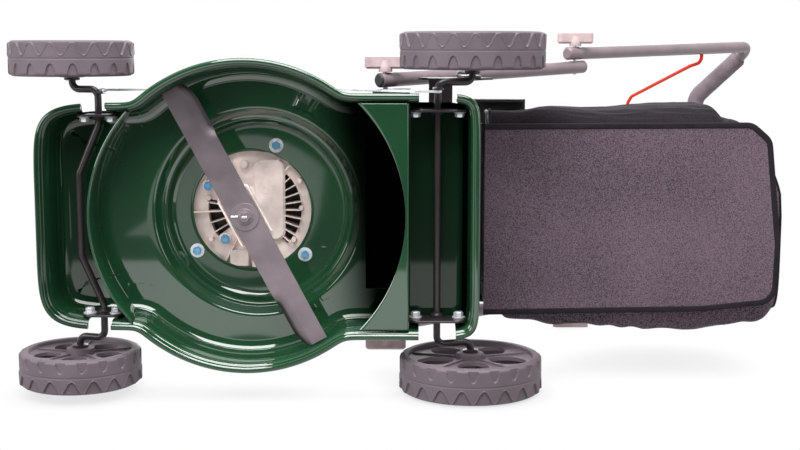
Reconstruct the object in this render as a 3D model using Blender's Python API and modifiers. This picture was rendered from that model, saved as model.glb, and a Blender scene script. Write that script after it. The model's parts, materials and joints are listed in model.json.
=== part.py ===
"""Petrol lawn mower with a pressed steel deck, a grass bag and a folding handle.

Metres. +X is forward, +Y is the mower's left, +Z is up, and it stands on its wheels at z = 0.
Pieces are laid out from the blade's axis. One empty then shifts them all, so that the origin
ends under the middle of the whole mower.
"""

import math

import bmesh
import bpy
from mathutils import Matrix, Vector

# Clearances
SEAT_GAP = 0.0003
RUN_GAP = 0.0008
SHEET = 0.0020

# Deck
DECK_RADIUS = 0.220
FRONT_REACH = 0.290
REAR_REACH = 0.327
FRONT_HALF_WIDTH = 0.159
REAR_HALF_WIDTH = 0.172
LIP_WIDTH = 0.009
SKIRT_Z = 0.040
SHOULDER_Z = 0.108
ENGINE_PLATE_Z = 0.140
DOME_FOOT_RADIUS = 0.146
DOME_STEP_RADIUS = 0.127
PLATE_RADIUS = 0.119
DOME_SHIFT = -0.008
ENGINE_OPENING_RADIUS = 0.0865
BOLT_CIRCLE_RADIUS = 0.1005
BOLT_ANGLES = (111.0, -36.5, -139.5)
NOTCH_TOP_Z = 0.094
BAFFLE_RADIUS = 0.2175
PANEL_FOLD_X = -0.228
CHAMBER_REAR_RADIUS = 0.224

# Discharge chute and its flap
CHUTE_HALF_WIDTH = 0.118
CHUTE_FRONT_X = -0.160
CHUTE_TOP_Z = 0.262
FLAP_LENGTH = 0.104
FLAP_HALF_WIDTH = 0.156
FLAP_SLOPE = 6.0
HINGE_ROD_RADIUS = 0.0035

# Blade and shaft
BLADE_LENGTH = 0.406
BLADE_WIDTH = 0.040
BLADE_THICKNESS = 0.003
BLADE_Z = 0.055
BLADE_ANGLE = 62.0
SHAFT_RADIUS = 0.011
CARRIER_RADIUS = 0.024
CARRIER_TOP_Z = 0.100
FLYWHEEL_RADIUS = 0.088
FLYWHEEL_Z = 0.268
FAN_BLADES = 8

# Engine
CASE_RADIUS = 0.082
CASE_TOP_Z = 0.228
CYLINDER_Z = 0.196
CYLINDER_RADIUS = 0.0375
CYLINDER_FIN = 0.057
CYLINDER_START_X = 0.0835
FIN_PITCH = 0.0096
CYLINDER_FINS = 5
HEAD_LENGTH = 0.022
ROCKER_LENGTH = 0.018
HOUSING_RADIUS = 0.108
HOUSING_FOOT_Z = 0.2475
HOUSING_TOP_Z = 0.338
STARTER_TOP_Z = 0.392
STARTER_RADIUS = 0.082
PULLEY_RADIUS = 0.034

# Wheels and axles
FRONT_WHEEL_RADIUS = 0.0875
FRONT_WHEEL_WIDTH = 0.049
FRONT_TRACK_INNER = 0.1945
REAR_WHEEL_RADIUS = 0.104
REAR_WHEEL_WIDTH = 0.052
REAR_TRACK_INNER = 0.204
WHEEL_STEPS = 24
ROD_RADIUS = 0.005
FRONT_PIVOT_X = 0.205
FRONT_PIVOT_Z = 0.075
FRONT_CRANK_X = 0.0385
FRONT_ARM_Y = 0.176
REAR_PIVOT_X = -0.268
REAR_PIVOT_Z = 0.085
REAR_CRANK_X = -0.049
REAR_ARM_Y = 0.186
FRONT_TAB = 0.030
REAR_TAB = 0.039
TAB_THICKNESS = 0.003
LINK_THICKNESS = 0.003
LINK_Z = 0.124
LEVER_LENGTH = 0.150
LEVER_LEAN = 16.0

# Handle
TUBE_RADIUS = 0.011
FOOT_X = -0.192
FOOT_Y = 0.186
FOOT_Z = 0.215
ELBOW_X = -0.512
ELBOW_Y = 0.200
ELBOW_Z = 0.549
CORNER_X = -0.925
CORNER_Y = 0.235
CORNER_Z = 1.000
BAR_X = -0.832
BAR_Y = 0.128
BAR_Z = 1.086
GRIP_RADIUS = 0.0150
BAIL_RADIUS = 0.0035
BAIL_PIVOT_SHARE = 0.70
BAIL_BAR_X = -0.690
BAIL_BAR_Z = 1.047
BAIL_HALF_WIDTH = 0.118
KNOB_SPAN = 0.062

# Grass bag
BAG_FRONT_X = -0.337
BAG_REAR_X = -0.793
BAG_HALF_WIDTH = 0.165
BAG_FLOOR_Z = 0.158
BAG_MOUTH_TOP_Z = 0.236
BAG_TOP_Z = 0.420
BAG_WALL = 0.004
BAG_BOTTOM_THICKNESS = 0.003

# Deck outline: a circle, a front apron and a rear box, melted together
FRONT_CENTER_X = 0.100
FRONT_SQUARENESS = 6.5
REAR_CENTER_X = -0.160
REAR_SQUARENESS = 12.0
MELT = 60.0
OUTLINE_POINTS = 60
WALL_LEAN = 0.003
SHOULDER_INSET = 0.018
ROOF_INSET = 0.030
LINING_INSET = 0.020
NOTCH_HALF = 0.0165
REAR_NOTCH_HALF = 0.026
BRACKET_THICKNESS = 0.003
ROOF_Z = SHOULDER_Z + 0.001
FRONT_BRACKET_HALF = 0.027
REAR_BRACKET_HALF = 0.039
BOLT_HEAD_RADIUS = 0.0065
BOLT_EDGE = 0.0075
CHUTE_REAR_X = -0.300
BAFFLE_SWEEP = 100.0
FLAP_HINGE_X = -0.300
FLAP_HINGE_Z = CHUTE_TOP_Z + 0.0075
EYE_Y = 0.108

# Blade and carrier shapes
SAIL_LIFT = 0.011
SAIL_START = 0.115
CARRIER_PLATE = (0.082, 0.050)
PIN_RADIUS = 0.0038
PIN_STEP = 0.0255
SHAFT_FOOT_Z = BLADE_Z + BLADE_THICKNESS + SEAT_GAP + 0.008
WASHER_RADIUS = 0.0190

# Wheel shapes, crank and linkage
WHEEL_BORE = ROD_RADIUS + 0.0006
HUB_RADIUS = 0.020
RIM_WALL = 0.015
WINDOWS = 5
WINDOW_HALF_LENGTH = 0.0230
DISC_INSET = 0.007
DISC_THICKNESS = 0.005
NUT_RADIUS = 0.0095
HUB_RECESS = 0.009
FLANGE_RADIUS = 0.0110
BOW_HALF = 0.058
FRONT_BOW = 0.030
CRANK_BEND = 0.011
NUT_LENGTH = 0.007
LINK_Y = REAR_HALF_WIDTH + 0.0025
TAB_STEP = TAB_THICKNESS / 2 + SEAT_GAP + LINK_THICKNESS / 2
FRONT_TAB_Y = LINK_Y - TAB_STEP
REAR_TAB_Y = LINK_Y + TAB_STEP
LINK_WIDTH = 0.010
LINK_PIN_RADIUS = 0.003
SLOT_UP = 0.0015
SLOT_DOWN = 0.0115
LEVER_THICKNESS = 0.003
LEVER_Y = REAR_ARM_Y + ROD_RADIUS + SEAT_GAP + LEVER_THICKNESS / 2
LEVER_KNOB_RADIUS = 0.011

# Engine pieces that stand round the crankcase
FLANGE_THICKNESS = 0.010
LUG_RADIUS = 0.0135
FIN_DEPTH = 0.026
FIN_FOOT_Z = 0.1555
FIN_TOP_Z = 0.246
FIN_THICKNESS = 0.003
MUFFLER_LOW = (0.088, -0.132, 0.150)
MUFFLER_HIGH = (0.158, -0.066, 0.214)
FILTER_LOW = (0.064, 0.108, 0.168)
FILTER_HIGH = (0.150, 0.166, 0.232)
TANK_LOW = (-0.118, 0.096, 0.162)
TANK_HIGH = (0.040, 0.168, 0.236)
FILLER_X = -0.060
FILLER_Y = 0.134
CAP_RADIUS = 0.024
DIPSTICK = (-0.043, -0.0895, 0.168)

# Cooling cover and recoil starter
ROPE_RADIUS = 0.0020
ROPE_Z = 0.356
ROPE_Y = 0.0365
EYELET_X = -STARTER_RADIUS - 0.0005
POST_RADIUS = 0.0060
COVER_SLOTS = 8
LEG_STEP = 0.0735

# Handle fittings
UPPER_STEP = 2 * TUBE_RADIUS + 0.0020
FOOT_TAIL = 0.014
ELBOW_TAIL = 0.024
STUD_RADIUS = 0.0040
STUD_HOLE = STUD_RADIUS + SEAT_GAP
HANDLE_BEND = 0.034
BEND_STEPS = 3
PLATE_STEP = TUBE_RADIUS + 0.0015
STAND_SHELF_Z = 0.150
STAND_FOOT_Y = 0.1335
STAND_FLANGE = 0.0125
NOTCHES = 5
QUADRANT_INNER = 0.088
QUADRANT_OUTER = 0.112
QUADRANT_SWEEP = 30.0

# Grass bag shapes: each station is (distance back, share of width, floor rise, top rise)
BAG_STATIONS = (
    (0.000, 0.86, 0.000, 0.000), (0.055, 0.88, 0.000, 0.004), (0.080, 0.92, 0.000, 0.030),
    (0.135, 0.96, 0.000, 0.116), (0.215, 1.00, 0.000, 0.169), (0.315, 1.00, 0.000, 0.184),
    (0.385, 0.99, 0.002, 0.170), (0.428, 0.95, 0.014, 0.112), (0.446, 0.84, 0.036, 0.070))
BAG_RING_POINTS = 24
BAG_SQUARENESS = 5.0
FRAME_RADIUS = 0.0030
BAG_BASE_LENGTH = 0.400
BAG_BASE_HALF = 0.134
HOOK_Z = 0.228

FRONT_AXLE_X = FRONT_PIVOT_X + FRONT_CRANK_X
FRONT_AXLE_Z = FRONT_WHEEL_RADIUS * math.cos(math.pi / WHEEL_STEPS)
REAR_AXLE_X = REAR_PIVOT_X + REAR_CRANK_X
REAR_AXLE_Z = REAR_WHEEL_RADIUS * math.cos(math.pi / WHEEL_STEPS)

def clear_scene():
    for item in list(bpy.data.objects):
        bpy.data.objects.remove(item, do_unlink=True)


def new_collection(name):
    made = bpy.data.collections.new(name)
    bpy.context.scene.collection.children.link(made)
    return made


def new_material(name, color, roughness, metallic=0.0):
    made = bpy.data.materials.new(name)
    made.use_nodes = True
    shader = made.node_tree.nodes["Principled BSDF"]
    shader.inputs["Base Color"].default_value = (*color, 1.0)
    shader.inputs["Roughness"].default_value = roughness
    shader.inputs["Metallic"].default_value = metallic
    return made


clear_scene()
PARTS = new_collection("petrol_lawn_mower")
CUTTERS = new_collection("cutters")
ENAMEL = new_material("green_enamel", (0.008, 0.075, 0.030), 0.22)
BLACK_STEEL = new_material("black_steel", (0.020, 0.018, 0.020), 0.45, 0.3)
BLADE_STEEL = new_material("blade_steel", (0.090, 0.075, 0.085), 0.42, 0.8)
ZINC = new_material("zinc_plate", (0.620, 0.640, 0.660), 0.30, 1.0)
ALUMINIUM = new_material("cast_aluminium", (0.660, 0.600, 0.570), 0.50, 0.9)
WHEEL_PLASTIC = new_material("wheel_plastic", (0.130, 0.110, 0.125), 0.62)
BLACK_PLASTIC = new_material("black_plastic", (0.018, 0.018, 0.019), 0.50)
KNOB_PLASTIC = new_material("knob_plastic", (0.560, 0.540, 0.540), 0.50)
RED_ROD = new_material("red_rod", (0.750, 0.045, 0.015), 0.35)
FOAM = new_material("grip_foam", (0.080, 0.070, 0.078), 0.90)
BAG_CLOTH = new_material("bag_cloth", (0.070, 0.060, 0.068), 0.95)
HOT_STEEL = new_material("muffler_steel", (0.330, 0.320, 0.310), 0.45, 0.9)


def body(name, location, parent=None):
    """An empty on the axis that its pieces turn or slide on."""
    made = bpy.data.objects.new(name, None)
    made.empty_display_size = 0.03
    made.location = location
    PARTS.objects.link(made)
    if parent:
        bpy.context.view_layer.update()
        made.parent = parent
        made.matrix_parent_inverse = parent.matrix_world.inverted()
    bpy.context.view_layer.update()
    return made


def mesh_from(build):
    """The mesh of a bmesh with its doubles merged and its faces turned outwards."""
    bmesh.ops.remove_doubles(build, verts=build.verts, dist=1e-6)
    bmesh.ops.recalc_face_normals(build, faces=build.faces)
    mesh = bpy.data.meshes.new("shape")
    build.to_mesh(mesh)
    build.free()
    return mesh


def evaluated_mesh(item):
    """The shape of a curve or a modified object as a plain mesh. The object is removed."""
    CUTTERS.objects.link(item)
    bpy.context.view_layer.update()
    graph = bpy.context.evaluated_depsgraph_get()
    shape = bpy.data.meshes.new_from_object(item.evaluated_get(graph))
    build = bmesh.new()
    build.from_mesh(shape)
    bpy.data.objects.remove(item, do_unlink=True)
    return mesh_from(build)


def mirrored(mesh, axis=1):
    """The same shape on the other side of the mower's middle."""
    build = bmesh.new()
    build.from_mesh(mesh)
    flip = Matrix.Scale(-1.0, 4, Vector([float(i == axis) for i in range(3)]))
    bmesh.ops.transform(build, matrix=flip, verts=build.verts)
    return mesh_from(build)


def turned_about(mesh, center, angle, axis):
    """The shape turned by an angle in degrees about a line."""
    build = bmesh.new()
    build.from_mesh(mesh)
    turn = Matrix.Rotation(math.radians(angle), 3, axis)
    bmesh.ops.rotate(build, cent=center, matrix=turn, verts=build.verts)
    return mesh_from(build)


def block(low, high, bevel=0.0, segments=1):
    build = bmesh.new()
    bmesh.ops.create_cube(build, size=1.0)
    low, high = Vector(low), Vector(high)
    size = high - low
    for vert in build.verts:
        vert.co = Vector(c * s for c, s in zip(vert.co, size)) + (low + high) / 2
    if bevel:
        bmesh.ops.bevel(build, geom=build.edges[:], offset=bevel, segments=segments,
                        affect="EDGES", profile=0.5)
    return mesh_from(build)


def cylinder(start, end, radius, sides=16, end_radius=None):
    start, end = Vector(start), Vector(end)
    build = bmesh.new()
    bmesh.ops.create_cone(build, cap_ends=True, segments=sides, radius1=radius,
                          radius2=radius if end_radius is None else end_radius,
                          depth=(end - start).length)
    turn = (end - start).to_track_quat("Z", "Y").to_matrix().to_4x4()
    bmesh.ops.transform(build, matrix=Matrix.Translation((start + end) / 2) @ turn,
                        verts=build.verts)
    return mesh_from(build)


def turned(profile, steps, origin=(0, 0, 0), axis="Z", closed=False):
    """A profile of (radius, height) carried round an axis by a Screw modifier."""
    mesh = bpy.data.meshes.new("profile")
    points = [(r, 0.0, h) for r, h in profile]
    edges = [(i, i + 1) for i in range(len(points) - 1)]
    if closed:
        edges.append((len(points) - 1, 0))
    mesh.from_pydata(points, edges, [])
    item = bpy.data.objects.new("profile", mesh)
    screw = item.modifiers.new("turn", "SCREW")
    screw.steps = screw.render_steps = steps
    screw.use_merge_vertices = True
    screw.merge_threshold = 0.00001
    shape = evaluated_mesh(item)
    build = bmesh.new()
    build.from_mesh(shape)
    turn = {"Z": Matrix.Identity(4), "Y": Matrix.Rotation(-math.pi / 2, 4, "X"),
            "X": Matrix.Rotation(math.pi / 2, 4, "Y")}[axis]
    bmesh.ops.transform(build, matrix=Matrix.Translation(origin) @ turn, verts=build.verts)
    return mesh_from(build)


def fillet_path(points, radius, steps=4):
    """The points of a path whose inner corners are rounded by arcs."""
    points = [Vector(p) for p in points]
    path = [points[0]]
    for before, corner, after in zip(points, points[1:], points[2:]):
        back, ahead = (before - corner), (after - corner)
        half = back.angle(ahead) / 2
        reach = min(radius / math.tan(half), 0.49 * back.length, 0.49 * ahead.length)
        arc = reach * math.tan(half)
        center = corner + (back.normalized() + ahead.normalized()).normalized() * (
            arc / math.sin(half))
        first = (corner + back.normalized() * reach - center).normalized()
        last = (corner + ahead.normalized() * reach - center).normalized()
        for step in range(steps + 1):
            path.append(center + first.slerp(last, step / steps) * arc)
    path.append(points[-1])
    return path


def tube(points, radius, resolution=2, bend=0.0, steps=4, ring=False):
    """A round rod or tube along a path, its corners rounded to the bend radius."""
    path = fillet_path(points, bend, steps) if bend else [Vector(p) for p in points]
    if ring:
        path.pop()
    curve = bpy.data.curves.new("rod", "CURVE")
    curve.dimensions = "3D"
    curve.bevel_depth = radius
    curve.bevel_resolution = resolution
    curve.use_fill_caps = True
    spline = curve.splines.new("POLY")
    spline.points.add(len(path) - 1)
    spline.use_cyclic_u = ring
    for point, place in zip(spline.points, path):
        point.co = (*place, 1.0)
    return evaluated_mesh(bpy.data.objects.new("rod", curve))


def plate(outline, thickness, plane="XY", offset=0.0, holes=()):
    """A flat outline as a 2D curve, as thick as asked, whose middle lies at the offset."""
    curve = bpy.data.curves.new("plate", "CURVE")
    curve.dimensions = "2D"
    curve.fill_mode = "BOTH"
    curve.extrude = thickness / 2
    for loop in (outline, *holes):
        spline = curve.splines.new("POLY")
        spline.points.add(len(loop) - 1)
        spline.use_cyclic_u = True
        for point, place in zip(spline.points, loop):
            point.co = (place[0], place[1], 0.0, 1.0)
    shape = evaluated_mesh(bpy.data.objects.new("plate", curve))
    build = bmesh.new()
    build.from_mesh(shape)
    for vert in build.verts:
        u, v, w = vert.co
        vert.co = {"XY": (u, v, w + offset), "XZ": (u, w + offset, v),
                   "YZ": (w + offset, u, v)}[plane]
    return mesh_from(build)


def circle_points(center, radius, count, start=0.0, sweep=360.0):
    """Points on an arc. A whole circle leaves out its last point."""
    share = count if abs(sweep) >= 360.0 else count - 1
    return [(center[0] + radius * math.cos(math.radians(start + sweep * i / share)),
             center[1] + radius * math.sin(math.radians(start + sweep * i / share)))
            for i in range(count)]


def smooth(item, angle=35.0):
    item.data.shade_smooth()
    item.data.set_sharp_from_angle(angle=math.radians(angle))


def helper(mesh, name):
    made = bpy.data.objects.new(name, mesh)
    made.hide_render = True
    made.display_type = "WIRE"
    CUTTERS.objects.link(made)
    return made


def boolean(item, operation, other):
    step = item.modifiers.new(operation.lower(), "BOOLEAN")
    step.operation = operation
    step.solver = "EXACT"
    step.object = other


def carved(base, cut):
    """A shape with others cut out of it, as a plain mesh."""
    item = bpy.data.objects.new("carved", base)
    for shape in cut:
        boolean(item, "DIFFERENCE", helper(shape, "carver"))
    return evaluated_mesh(item)


def piece(name, parent, material, base, add=(), cut=(), limit=()):
    """One named piece: a base shape with others joined to it, cut from it or trimming it."""
    made = bpy.data.objects.new(name, base)
    PARTS.objects.link(made)
    made.data.materials.append(material)
    made.parent = parent
    made.matrix_parent_inverse = parent.matrix_world.inverted()
    for operation, shapes in (("UNION", add), ("INTERSECT", limit), ("DIFFERENCE", cut)):
        for index, shape in enumerate(shapes):
            other = helper(shape, f"{name}_{operation.lower()}_{index}")
            other.parent = parent
            other.matrix_parent_inverse = parent.matrix_world.inverted()
            boolean(made, operation, other)
    smooth(made)
    return made


def superellipse_reach(angle, center_x, half_length, half_width, squareness):
    """How far a rounded box about (center_x, 0) reaches from the blade's axis at an angle."""
    low, high = 0.0, 1.0
    for _ in range(40):
        middle = (low + high) / 2
        x = abs(middle * math.cos(angle) - center_x) / half_length
        y = abs(middle * math.sin(angle)) / half_width
        if x ** squareness + y ** squareness < 1.0:
            low = middle
        else:
            high = middle
    return low


def deck_reach(angle):
    """The deck's radius at an angle: the largest of its three outlines, smoothly joined."""
    front = superellipse_reach(angle, FRONT_CENTER_X, FRONT_REACH - FRONT_CENTER_X,
                               FRONT_HALF_WIDTH, FRONT_SQUARENESS)
    rear = superellipse_reach(angle, REAR_CENTER_X, REAR_REACH + REAR_CENTER_X,
                              REAR_HALF_WIDTH, REAR_SQUARENESS)
    total = sum(reach ** MELT for reach in (front, rear, DECK_RADIUS))
    return total ** (1 / MELT)


def deck_outline():
    """Points at even steps along the lip, the first at the middle of the front."""
    fine = 1440
    dense = []
    for step in range(fine + 1):
        angle = 2 * math.pi * step / fine
        dense.append(Vector((math.cos(angle), math.sin(angle))) * deck_reach(angle))
    lengths = [0.0]
    for before, after in zip(dense, dense[1:]):
        lengths.append(lengths[-1] + (after - before).length)
    outline = []
    index = 0
    for step in range(OUTLINE_POINTS):
        goal = lengths[-1] * step / OUTLINE_POINTS
        while lengths[index + 1] < goal:
            index += 1
        share = (goal - lengths[index]) / (lengths[index + 1] - lengths[index])
        outline.append(dense[index].lerp(dense[index + 1], share))
    return outline


def inset(outline, distance):
    """The outline moved inwards along its own normals."""
    moved = []
    count = len(outline)
    for index, point in enumerate(outline):
        along = (outline[(index + 1) % count] - outline[index - 1]).normalized()
        moved.append(point + Vector((-along.y, along.x)) * distance)
    return moved


def ring_at(outline, radius, shift=0.0):
    return [point.normalized() * radius + Vector((shift, 0.0)) for point in outline]


def level(points, z):
    return [(p.x, p.y, z) for p in points]


def lofted(rings, tip=None):
    """An open surface through rings of equal counts, closed over the last one to a tip."""
    build = bmesh.new()
    rows = [[build.verts.new(point) for point in ring] for ring in rings]
    for low, high in zip(rows, rows[1:]):
        for index in range(len(low)):
            after = (index + 1) % len(low)
            build.faces.new((low[index], low[after], high[after], high[index]))
    if tip:
        end = build.verts.new(tip)
        for index in range(len(rows[-1])):
            build.faces.new((rows[-1][index], rows[-1][(index + 1) % len(rows[-1])], end))
    mesh = bpy.data.meshes.new("loft")
    build.to_mesh(mesh)
    build.free()
    return mesh


def thickened(mesh, thickness, side):
    """An open sheet given its thickness by Solidify, to one side of its faces."""
    item = bpy.data.objects.new("sheet", mesh)
    wall = item.modifiers.new("wall", "SOLIDIFY")
    wall.thickness = thickness
    wall.offset = side
    wall.use_even_offset = True
    return evaluated_mesh(item)


def lining(outline):
    """A tall block with the outline of the deck's inside, which trims what is fitted there."""
    return plate(inset(outline, LINING_INSET), 0.30, offset=0.10)


def make_deck(root, outline):
    rings = [
        level(outline, SKIRT_Z),
        level(inset(outline, LIP_WIDTH), SKIRT_Z + 0.005),
        level(inset(outline, LIP_WIDTH + WALL_LEAN), NOTCH_TOP_Z),
        level(inset(outline, SHOULDER_INSET), SHOULDER_Z - 0.004),
        level(inset(outline, ROOF_INSET), ROOF_Z),
        level(ring_at(outline, DOME_FOOT_RADIUS, DOME_SHIFT), ROOF_Z + 0.0002),
        level(ring_at(outline, DOME_STEP_RADIUS, DOME_SHIFT), ENGINE_PLATE_Z - 0.0045),
        level(ring_at(outline, PLATE_RADIUS, DOME_SHIFT), ENGINE_PLATE_Z - 0.0001),
        level(ring_at(outline, ENGINE_OPENING_RADIUS), ENGINE_PLATE_Z),
    ]
    wide = 2 * DECK_RADIUS
    front_notch = block((FRONT_PIVOT_X - NOTCH_HALF, -wide, 0.0),
                        (FRONT_PIVOT_X + NOTCH_HALF, wide, NOTCH_TOP_Z - 0.002))
    rear_notch = block((REAR_PIVOT_X - REAR_NOTCH_HALF, -wide, 0.0),
                       (REAR_PIVOT_X + REAR_NOTCH_HALF, wide, NOTCH_TOP_Z + 0.001))
    roof_opening = block((CHUTE_REAR_X, -CHUTE_HALF_WIDTH + 0.008, SHOULDER_Z - 0.007),
                         (CHUTE_FRONT_X - 0.006, CHUTE_HALF_WIDTH - 0.008, 0.20))
    bolts = [cylinder((x, y, 0.10), (x, y, 0.20), 0.0045, 10) for x, y in engine_bolts()]
    return piece("deck_shell", root, ENAMEL, thickened(lofted(rings), SHEET, -1.0),
                 cut=[front_notch, rear_notch, roof_opening, *bolts])


def engine_bolts():
    return [(BOLT_CIRCLE_RADIUS * math.cos(math.radians(angle)),
             BOLT_CIRCLE_RADIUS * math.sin(math.radians(angle))) for angle in BOLT_ANGLES]


def make_front_baffle(root, outline):
    """The curved strip that closes the blade's chamber towards the front apron."""
    outer = circle_points((0, 0), BAFFLE_RADIUS, 22, -BAFFLE_SWEEP / 2, BAFFLE_SWEEP)
    inner = circle_points((0, 0), BAFFLE_RADIUS - SHEET, 22, BAFFLE_SWEEP / 2, -BAFFLE_SWEEP)
    low, high = SKIRT_Z + 0.004, SHOULDER_Z - 0.006
    strip = plate(outer + inner, high - low, offset=(low + high) / 2)
    piece("front_baffle", root, ENAMEL, strip, limit=[lining(outline)])


def make_rear_panel(root, outline):
    """The sheet behind the blade: flat at skirt level, folded up, then back over the axle."""
    low, high = SKIRT_Z + 0.005, SHOULDER_Z - 0.006
    fold, front, rear = PANEL_FOLD_X, -0.130, CHUTE_REAR_X - 0.004
    sheet = [(front, low), (front, low + SHEET), (fold + SHEET, low + SHEET),
             (fold + SHEET, high), (rear, high), (rear, high - SHEET),
             (fold, high - SHEET), (fold, low)]
    chamber = cylinder((0, 0, 0.0), (0, 0, low + 0.01), CHAMBER_REAR_RADIUS, 64)
    piece("rear_panel", root, ENAMEL, plate(sheet, 2 * REAR_HALF_WIDTH, "XZ"),
          limit=[lining(outline)], cut=[chamber])


def make_chute(root):
    """The raised hood that leads the grass from the deck's roof up into the bag."""
    half, foot = CHUTE_HALF_WIDTH, ROOF_Z + SEAT_GAP
    front, rear, top = CHUTE_FRONT_X, CHUTE_REAR_X - 0.012, CHUTE_TOP_Z
    side = [(front, foot), (front - 0.012, foot + 0.050), (front - 0.070, top - 0.012),
            (front - 0.095, top), (rear, top), (rear, foot)]
    inner = [(front - SHEET, foot - 0.01), (front - 0.014, foot + 0.049),
             (front - 0.0715, top - 0.0145), (front - 0.0955, top - SHEET),
             (rear - 0.01, top - SHEET), (rear - 0.01, foot - 0.01)]
    flange = block((rear, -half - 0.014, foot), (front - 0.004, half + 0.014, foot + SHEET))
    room = plate(inner, 2 * (half - SHEET), "XZ")
    eyes = [cylinder((FLAP_HINGE_X, s * EYE_Y - 0.009, FLAP_HINGE_Z),
                     (FLAP_HINGE_X, s * EYE_Y + 0.009, FLAP_HINGE_Z), 0.0078, 12)
            for s in (-1, 1)]
    bore = cylinder((FLAP_HINGE_X, -half, FLAP_HINGE_Z), (FLAP_HINGE_X, half, FLAP_HINGE_Z),
                    HINGE_ROD_RADIUS + SEAT_GAP, 12)
    piece("discharge_chute", root, ENAMEL, plate(side, 2 * half, "XZ"),
          add=[flange, *eyes], cut=[room, bore])


def make_flap(root):
    """The rear flap on its hinge rod, lying back over the mouth of the bag."""
    hinge = body("flap_axis", (FLAP_HINGE_X, 0, FLAP_HINGE_Z), root)
    rod = tube([(FLAP_HINGE_X, -0.128, FLAP_HINGE_Z), (FLAP_HINGE_X, 0.128, FLAP_HINGE_Z)],
               HINGE_ROD_RADIUS)
    piece("flap_hinge_rod", hinge, ZINC, rod)
    knuckle = cylinder((FLAP_HINGE_X, -0.092, FLAP_HINGE_Z),
                       (FLAP_HINGE_X, 0.092, FLAP_HINGE_Z), 0.0072, 14)
    half, drop = FLAP_HALF_WIDTH, FLAP_LENGTH
    leaf = block((FLAP_HINGE_X - drop, -half, FLAP_HINGE_Z + 0.0035),
                 (FLAP_HINGE_X + 0.001, half, FLAP_HINGE_Z + 0.0065), 0.001)
    wings = [block((FLAP_HINGE_X - drop + 0.004, s * (half - 0.002) - 0.002,
                    FLAP_HINGE_Z - 0.016),
                   (FLAP_HINGE_X - 0.030, s * (half - 0.002) + 0.002,
                    FLAP_HINGE_Z + 0.005)) for s in (-1, 1)]
    ribs = [block((FLAP_HINGE_X - drop + 0.012, y - 0.0015, FLAP_HINGE_Z + 0.001),
                  (FLAP_HINGE_X - 0.001, y + 0.0015, FLAP_HINGE_Z + 0.004))
            for y in (-0.060, 0.0, 0.060)]
    bore = cylinder((FLAP_HINGE_X, -half, FLAP_HINGE_Z), (FLAP_HINGE_X, half, FLAP_HINGE_Z),
                    HINGE_ROD_RADIUS + SEAT_GAP, 12)
    notches = [block((FLAP_HINGE_X - 0.0095, s * EYE_Y - 0.0105, FLAP_HINGE_Z - 0.020),
                     (FLAP_HINGE_X + 0.020, s * EYE_Y + 0.0105, FLAP_HINGE_Z + 0.020))
               for s in (-1, 1)]
    made = [turned_about(shape, (FLAP_HINGE_X, 0, FLAP_HINGE_Z), -FLAP_SLOPE, "Y")
            for shape in (knuckle, leaf, *wings, *ribs, bore, *notches)]
    piece("rear_flap", hinge, BLACK_PLASTIC, made[0], add=made[1:-3], cut=made[-3:])


def inner_wall(deck, x_low, x_high, z_low, z_high):
    """How far out a flat plate can lie inside the deck's left wall, found by rays."""
    bpy.context.view_layer.update()
    shape = deck.evaluated_get(bpy.context.evaluated_depsgraph_get())
    hits = []
    for step in range(25):
        x = x_low + (x_high - x_low) * (step % 5) / 4
        z = z_low + (z_high - z_low) * (step // 5) / 4
        found, place, _, _ = shape.ray_cast(Vector((x, 0.050, z)), Vector((0, 1, 0)))
        if found:
            hits.append(place.y)
    return min(hits) - SEAT_GAP


def make_axle_brackets(root, deck):
    """Four plates inside the skirt, each with its two bolts, that the axles turn in."""
    low, high = SKIRT_Z + 0.010, NOTCH_TOP_Z - 0.001
    for end, pivot_x, pivot_z, half in (
            ("front", FRONT_PIVOT_X, FRONT_PIVOT_Z, FRONT_BRACKET_HALF),
            ("rear", REAR_PIVOT_X, REAR_PIVOT_Z, REAR_BRACKET_HALF)):
        outer = inner_wall(deck, pivot_x - half, pivot_x + half, low, high)
        middle = outer - BRACKET_THICKNESS / 2
        outline = [(pivot_x - half, low + 0.008), (pivot_x - half + 0.008, low),
                   (pivot_x + half - 0.008, low), (pivot_x + half, low + 0.008),
                   (pivot_x + half, high), (pivot_x - half, high)]
        hole = circle_points((pivot_x, pivot_z), ROD_RADIUS + SEAT_GAP, 12)
        base = plate(outline, BRACKET_THICKNESS, "XZ", middle, holes=[hole])
        heads = []
        for x in (pivot_x - half + BOLT_EDGE, pivot_x + half - BOLT_EDGE):
            z = pivot_z - 0.006
            heads.append(cylinder((x, middle, z), (x, outer - 0.012, z), BOLT_HEAD_RADIUS, 6))
        for side, name in ((1, "left"), (-1, "right")):
            shapes = [base, *heads] if side > 0 else [mirrored(s) for s in (base, *heads)]
            piece(f"axle_bracket_{end}_{name}", root, ZINC, shapes[0], add=shapes[1:])


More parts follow.
